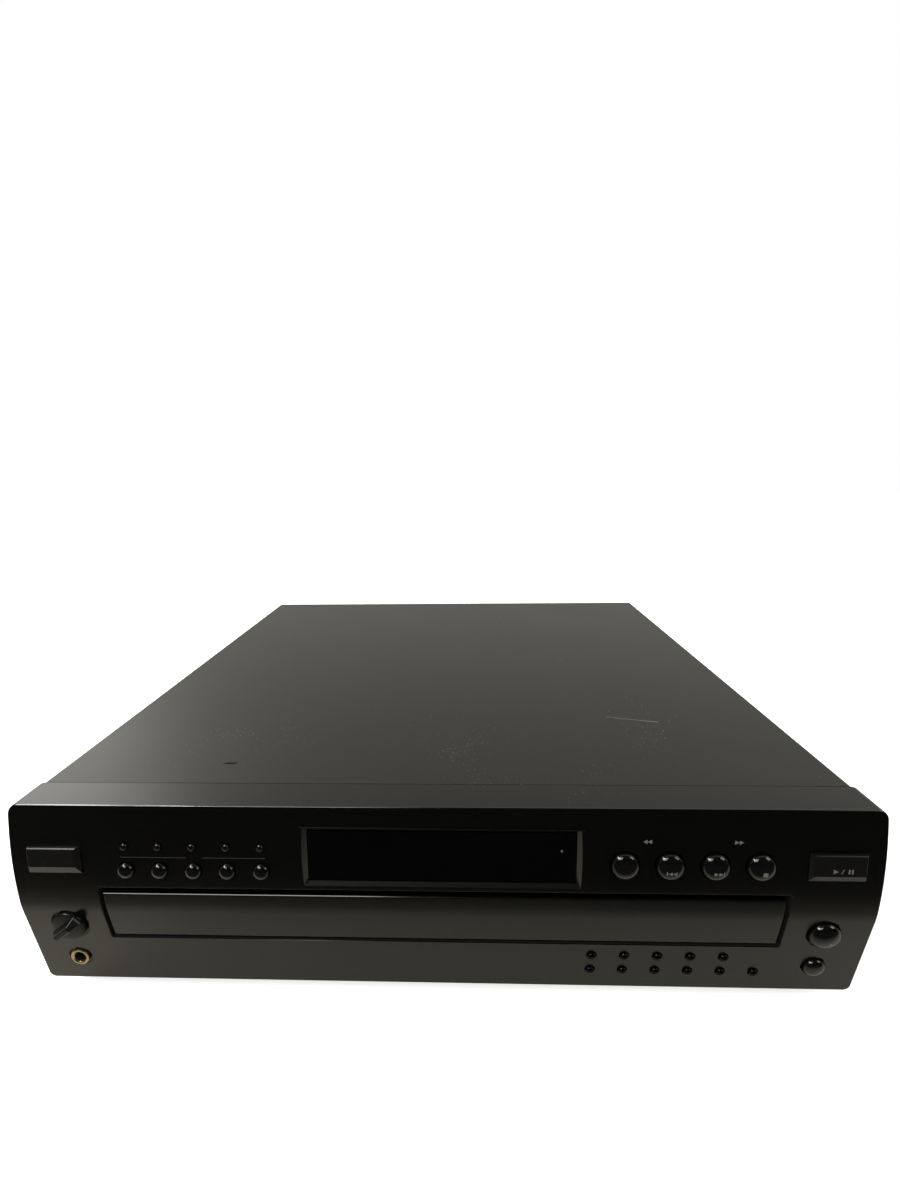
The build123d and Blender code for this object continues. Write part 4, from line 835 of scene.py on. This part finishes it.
# %% [markdown]
# Printed marks are thin sheets of ink. An image could be laid over the panel, but a sheet
# of ink keeps its edge at any distance. Each mark starts as flat outlines, is cut into
# small cells, and then lies down on the surface that it marks.

# %% Marks on the panel
mark_grey = make_finish("mark_grey", (0.12, 0.12, 0.105), 0.5, 0.2, relief=0.0)
mark_faint = make_finish("mark_faint", (0.035, 0.035, 0.031), 0.5, 0.2, relief=0.0)


def printed(name, outlines, place, body, lie, material, cell=0.7, thick=0.06):
    """Closed outlines as a sheet of ink; lie gives the surface's height at (x, y)."""
    bm = bmesh.new()
    for outline in outlines:
        bm.faces.new([bm.verts.new((x, y, 0)) for x, y in outline])
    for axis in (0, 1):
        spread = [v.co[axis] for v in bm.verts]
        across = Vector((1 - axis, axis, 0))
        at = (math.floor(min(spread) / cell) + 1) * cell
        while at < max(spread):
            bmesh.ops.bisect_plane(bm, geom=everything(bm), dist=0.0001,
                                   plane_co=across * at, plane_no=across)
            at += cell
    raised = bmesh.ops.extrude_face_region(bm, geom=bm.faces[:])
    for vert in [g for g in raised["geom"] if isinstance(g, bmesh.types.BMVert)]:
        vert.co.z += thick
    bmesh.ops.recalc_face_normals(bm, faces=bm.faces)
    for vert in bm.verts:
        vert.co.z += lie(vert.co.x, vert.co.y) - thick / 2
    place_at(bm, place)
    return finish_piece(bm, name, body, [], [material], 30)


def oblong(x, y, w, h):
    left, right, low, high = x - w / 2, x + w / 2, y - h / 2, y + h / 2
    return [(left, low), (right, low), (right, high), (left, high)]


def arrow(x, y, size, way):
    tip, tail = x + way * size * 0.5, x - way * size * 0.5
    return [(tail, y - size / 2), (tip, y), (tail, y + size / 2)]


def on_brow(x, y):
    return -(y**2) / (2 * brow_radius)


line_height, line_thick, arrow_size = 83.5, 0.28, 2.1
lines = [oblong(-143.6, 0, 33.8, line_thick), oblong(-102.4, 0, 32.2, line_thick)]
printed("disc_line", lines, on_face(0, line_height), "cabinet", on_brow, mark_faint, cell=20)
arrows = [arrow(x, 0, arrow_size, way)
          for x, way in ((101.9, -1), (104.1, -1), (146.0, 1), (148.2, 1))]
printed("search_arrows", arrows, on_face(0, 94), "cabinet", on_brow, mark_grey)

# %% [markdown]
# The keys carry the usual signs: skip, stop, open and play. Each rides on its own key, so
# that it moves when the key is pressed, and lies on the key's dome.

# %% Marks on the keys
low = -1.7  # below the middle of the dome
left, right = -1, 1
DOME_MARKS = {
    "skip_back_button": [oblong(-2.6, low, 0.5, 2.0), arrow(-1.1, low, 2.0, left),
                         arrow(1.1, low, 2.0, left)],
    "skip_forward_button": [oblong(2.6, low, 0.5, 2.0), arrow(1.1, low, 2.0, right),
                            arrow(-1.1, low, 2.0, right)],
    "stop_button": [oblong(0.2, low, 2.2, 2.2)],
    "open_close_button": [[(-0.2, low - 0.2), (2.2, low - 0.2), (1.0, low + 1.2)],
                          oblong(1.0, low - 0.9, 2.4, 0.5)],
}
for name, outlines in DOME_MARKS.items():
    x, height, radius = KEYS[name]
    printed(name + "_mark", outlines, on_face(x, height), name,
            lambda u, v: crown_height(radius, math.hypot(u, v)), mark_grey, 0.5)
x, height, _ = BARS["play_button"]
slash = [(0.1, -2.0), (0.5, -2.0), (1.5, 0.4), (1.1, 0.4)]
play_signs = [arrow(-2.4, -0.8, 2.3, right), slash, oblong(3.9, -0.8, 0.75, 2.3),
              oblong(5.4, -0.8, 0.75, 2.3)]
printed("play_mark", play_signs, on_face(x, height), "play_button", lambda u, v: bar_stand,
        mark_grey, 2)

# %% [markdown]
# A thin polished trim runs along the window's upper edge, and a small lamp sits on the
# smoked plate. Both are simple forms laid on the face: a rounded bar and a turned bead.

# %% Window trim and its lamp
trim_y = window_size.y / 2 + funnel - 1.0
trim_half, trim_wide = window_size.x / 2 + 3.2, 0.4
trim = block((-trim_half, trim_y, -0.3), (trim_half, trim_y + trim_wide, 0.22))
round_edges(trim, lambda m, e: m.z > 0.2 or not upright(e) and m.z > 0, 0.12, 2)
place_at(trim, on_face(window_x, window_height))
finish_piece(trim, "window_trim", "cabinet", [], [rim_gloss], 25)
lamp_x, lamp_height = 61.9, 87.5
bead = turned([(0, -1.0), (0.6, -1.0), (0.6, 0), (0.45, 0.25), (0, 0.35)], 24)
place_at(bead, on_face(lamp_x, lamp_height) @ Matrix.Translation((0, 0, -window_rim)))
finish_piece(bead, "standby_lamp", "cabinet", [], [mark_grey], 30)

# %% [markdown]
# The cover has been handled: a long scratch, a few chips and a dark smear. They lie where
# the photograph has them. As thin shapes they stay sharp, which a painted mask at this size
# wouldn't.

# %% Scratches and specks on the cover
scratch_pale = make_finish("scratch_pale", (0.20, 0.19, 0.16), 0.5, 0.2, relief=0.0)
mark_dark = make_finish("mark_dark", (0.003, 0.003, 0.003), 0.7, 0.1, relief=0.0)
on_cover = Matrix.Translation((0, 0, cover_high.z))
SPECKS = [  # x, y and width
    (138.3, -112.6, 0.9), (136.3, -121.1, 0.8), (112.0, -85.8, 0.7), (136.7, -78.3, 0.7),
    (154.2, -92.8, 0.7), (138.9, -101.0, 1.2), (52.7, 133.5, 1.6), (19.6, 134.1, 1.2),
    (-40, 20, 0.8), (96, 8, 0.9),
]
corners = [math.tau * k / 7 for k in range(7)]
scratch = [(107.7, -94.5), (138.7, -101.4), (138.7, -100.8), (107.7, -94.2)]
pale = [scratch] + [[(x + r / 2 * math.cos(a), y + r / 2 * math.sin(a)) for a in corners]
                    for x, y, r in SPECKS]
printed("cover_scratches", pale, on_cover, "cabinet", lambda u, v: 0.0, scratch_pale, 40)
smear = [(-124.5, -150.5), (-119, -151.2), (-115.5, -150.2), (-117, -149.2), (-122, -149.4)]
printed("cover_smear", [smear], on_cover, "cabinet", lambda u, v: 0.0, mark_dark, 40)

# %% [markdown]
# The four feet are soft rubber. They are turned, with a hollow ring under each, and stand
# where the solids' feet are.

# %% Feet
rubber = make_finish("rubber", (0.012, 0.012, 0.0115), 0.75, 0.15, grain=3000, relief=0.03)
feet_low, feet_high = corners_of("feet")
foot = 14.2
feet = bmesh.new()
for x in (feet_low.x + foot, feet_high.x - foot):
    for y in (feet_low.y + foot, feet_high.y - foot):
        section = [(0, feet_high.z), (foot - 1.8, feet_high.z), (foot - 0.9, feet_high.z - 0.7),
                   (foot, 1.6), (foot - 0.3, 0.5), (foot - 1.0, 0), (foot - 4.4, 0),
                   (foot - 4.9, 0.6), (foot - 5.2, 1.6), (0, 1.6)]
        join(feet, place_at(turned(section, 56), Matrix.Translation((x, y, 0))))
finish_piece(feet, "turned_feet", "cabinet", ["feet"], [rubber], 28)

# %% [markdown]
# At the back are two line sockets: a plated shell round a coloured insulator, white for the
# left channel and red for the right. Both are turned and joined to a shared black body, and
# the faces of each keep the number of their own finish.

# %% Line sockets
tin_plate = make_finish("tin_plate", (0.62, 0.61, 0.58), 0.25, 0.5, metallic=1.0, relief=0.002)
ring_white = make_finish("ring_white", (0.62, 0.61, 0.57), 0.4, 0.4, relief=0.004)
ring_red = make_finish("ring_red", (0.42, 0.02, 0.018), 0.4, 0.4, relief=0.004)
jacks_low, jacks_high = corners_of("line_out_jacks")
outs = [Vector(m["pos_m"]) / MM for m in frame["record"]["mounts"]
        if m["name"].startswith("line_out")]
inner, outer, long = 3.1, 4.15, 7.0
body_back = outs[0].y - long / 2
sockets = block(jacks_low, (jacks_high.x, body_back, jacks_high.z))
round_edges(sockets, lambda m, e: m.y > body_back - 0.1 or level_y(e), 0.7, 3)
plated, first_insulator = 1, 2
for index, place in enumerate(outs):
    plated_shell = turned([(inner, 0), (outer, 0), (outer, long - 0.5), (outer - 0.4, long),
                           (3.4, long), (inner, long - 0.3), (inner, 0)], 40)
    insulator = turned([(0, -1), (3.12, -1), (3.12, long - 1.2), (2.8, long - 0.9),
                        (1.9, long - 0.9), (1.65, long - 1.3), (1.65, 1.0), (0, 1.0)], 40)
    for shape, finish in ((plated_shell, plated), (insulator, first_insulator + index)):
        for face in shape.faces:
            face.material_index = finish
        join(sockets, place_at(shape, facing(place.x, body_back, place.z, (0, 1, 0))))
finish_piece(sockets, "line_sockets", "cabinet", ["line_out_jacks"],
             [jack_body, tin_plate, ring_white, ring_red], 30)

# %% [markdown]
# Cross-head screws hold the cover: two on each side and three at the back. The head is
# turned and the cross is cut out of it, so that the slots are real and catch the light.

# %% Screws
screw_zinc = make_finish("screw_zinc", (0.045, 0.045, 0.043), 0.3, 0.5, metallic=0.7,
                         relief=0.003)
sunk, side_height, back_height = 0.02, 19.0, 115.5
PLACES = [(side * (cover_high.x - sunk), seam_y + along, side_height, (side, 0, 0))
          for side in (-1, 1) for along in (90, 270)]
PLACES += [(x, cover_high.y - sunk, back_height, (0, 1, 0)) for x in (-150, 0, 150)]
slot_long, slot_half, slot_floor = 1.9, 0.45, 0.5
head_turn = Matrix.Rotation(0.35, 4, "Z")
screws = bmesh.new()
for x, y, z, way in PLACES:
    head = turned([(0, -0.6), (3.5, -0.6), (3.5, 0.3), (3.1, 1.1), (2.2, 1.6), (1.0, 1.85),
                   (0, 1.9)], 36)
    for wide, tall in ((slot_long, slot_half), (slot_half, slot_long)):
        head = carve(head, block((-wide, -tall, slot_floor), (wide, tall, 3)))
    join(screws, place_at(head, facing(x, y, z, way) @ head_turn))
finish_piece(screws, "cover_screws", "cabinet", [], [screw_zinc], 30)

# %% [markdown]
# The tray, the carousel and its cap are moulded, so no edge on them is knife-sharp. Their
# measured solids already have the right shape: a merged copy of each gets flat faces back
# from the triangles, and a Bevel modifier then rounds every edge a little.

# %% Moulded pieces with rounded edges
def rounded_copy(node, name, body, material, radius, smooth=35):
    bm = bmesh.new()
    bm.from_mesh(frame["nodes"][node].data)
    bmesh.ops.remove_doubles(bm, verts=bm.verts, dist=0.000002)
    bmesh.ops.dissolve_limit(bm, angle_limit=0.004, verts=bm.verts, edges=bm.edges)
    bmesh.ops.scale(bm, vec=(1 / MM, 1 / MM, 1 / MM), verts=bm.verts)
    piece = finish_piece(bm, name, body, [node], [material], smooth)
    soft = piece.modifiers.new("soft_edges", "BEVEL")
    soft.width, soft.segments, soft.profile = radius * MM, 2, 0.5
    soft.limit_method, soft.angle_limit = "ANGLE", math.radians(50)
    soft.use_clamp_overlap = True
    piece.modifiers.move(1, 0)


tray_black = make_finish("tray_black", (0.011, 0.011, 0.0105), 0.38, 0.4, dust=0.1)
carousel_black = make_finish("carousel_black", (0.014, 0.014, 0.0135), 0.33, 0.4, relief=0.008)
cap_gloss = make_finish("cap_gloss", (0.004, 0.004, 0.004), 0.15, 0.5, relief=0.001)
bushing_black = make_finish("bushing_black", (0.010, 0.010, 0.0095), 0.5)
rounded_copy("tray", "drawer_tray", "drawer", tray_black, 0.35)
rounded_copy("carousel", "disc_carousel", "carousel", carousel_black, 0.3)
rounded_copy("carousel_cap", "carousel_hub_cap", "drawer", cap_gloss, 0.3)
rounded_copy("cord_bushing", "moulded_bushing", "cabinet", bushing_black, 0.3)

# %% [markdown]
# The solids that still show are mostly inside. They keep their shapes, and each gets the
# finish of what it is made of, so that they look right when the drawer is out.

# %% Finishes for the rest
FINISHES = {  # colour, roughness, specular, metallic and the solids that have it
    "zinc_sheet": ((0.44, 0.44, 0.42), 0.40, 0.5, 1.0, ("base_pan", "guide_rod")),
    "back_paint": ((0.014, 0.014, 0.0135), 0.5, 0.3, 0.0, ("rear_panel",)),
    "black_plastic": ((0.010, 0.010, 0.0095), 0.36, 0.35, 0.0, ("disc_table",)),
    "grey_plastic": ((0.045, 0.045, 0.043), 0.45, 0.35, 0.0,
                     ("loader_frame", "traverse_frame", "pickup_sled")),
    "bridge_steel": ((0.40, 0.40, 0.38), 0.42, 0.5, 1.0, ("clamper_bridge",)),
    "white_plastic": ((0.66, 0.64, 0.58), 0.38, 0.4, 0.0,
                      ("drive_gear", "turntable_pinion", "clamper")),
    "motor_can": ((0.50, 0.49, 0.46), 0.30, 0.5, 1.0, ("loading_motor", "turntable_motor")),
    "belt_rubber": ((0.014, 0.014, 0.014), 0.7, 0.2, 0.0, ("drive_belt",)),
    "board_laminate": ((0.075, 0.10, 0.035), 0.45, 0.4, 0.0, ("main_board", "front_board")),
    "winding_core": ((0.16, 0.12, 0.07), 0.5, 0.4, 0.0, ("transformer",)),
}
for name, (colour, roughness, specular, metallic, nodes_here) in FINISHES.items():
    finish = make_finish(name, colour, roughness, specular, metallic)
    for node in nodes_here:
        for material_slot in frame["nodes"][node].material_slots:
            material_slot.material = finish
    print(name, nodes_here)
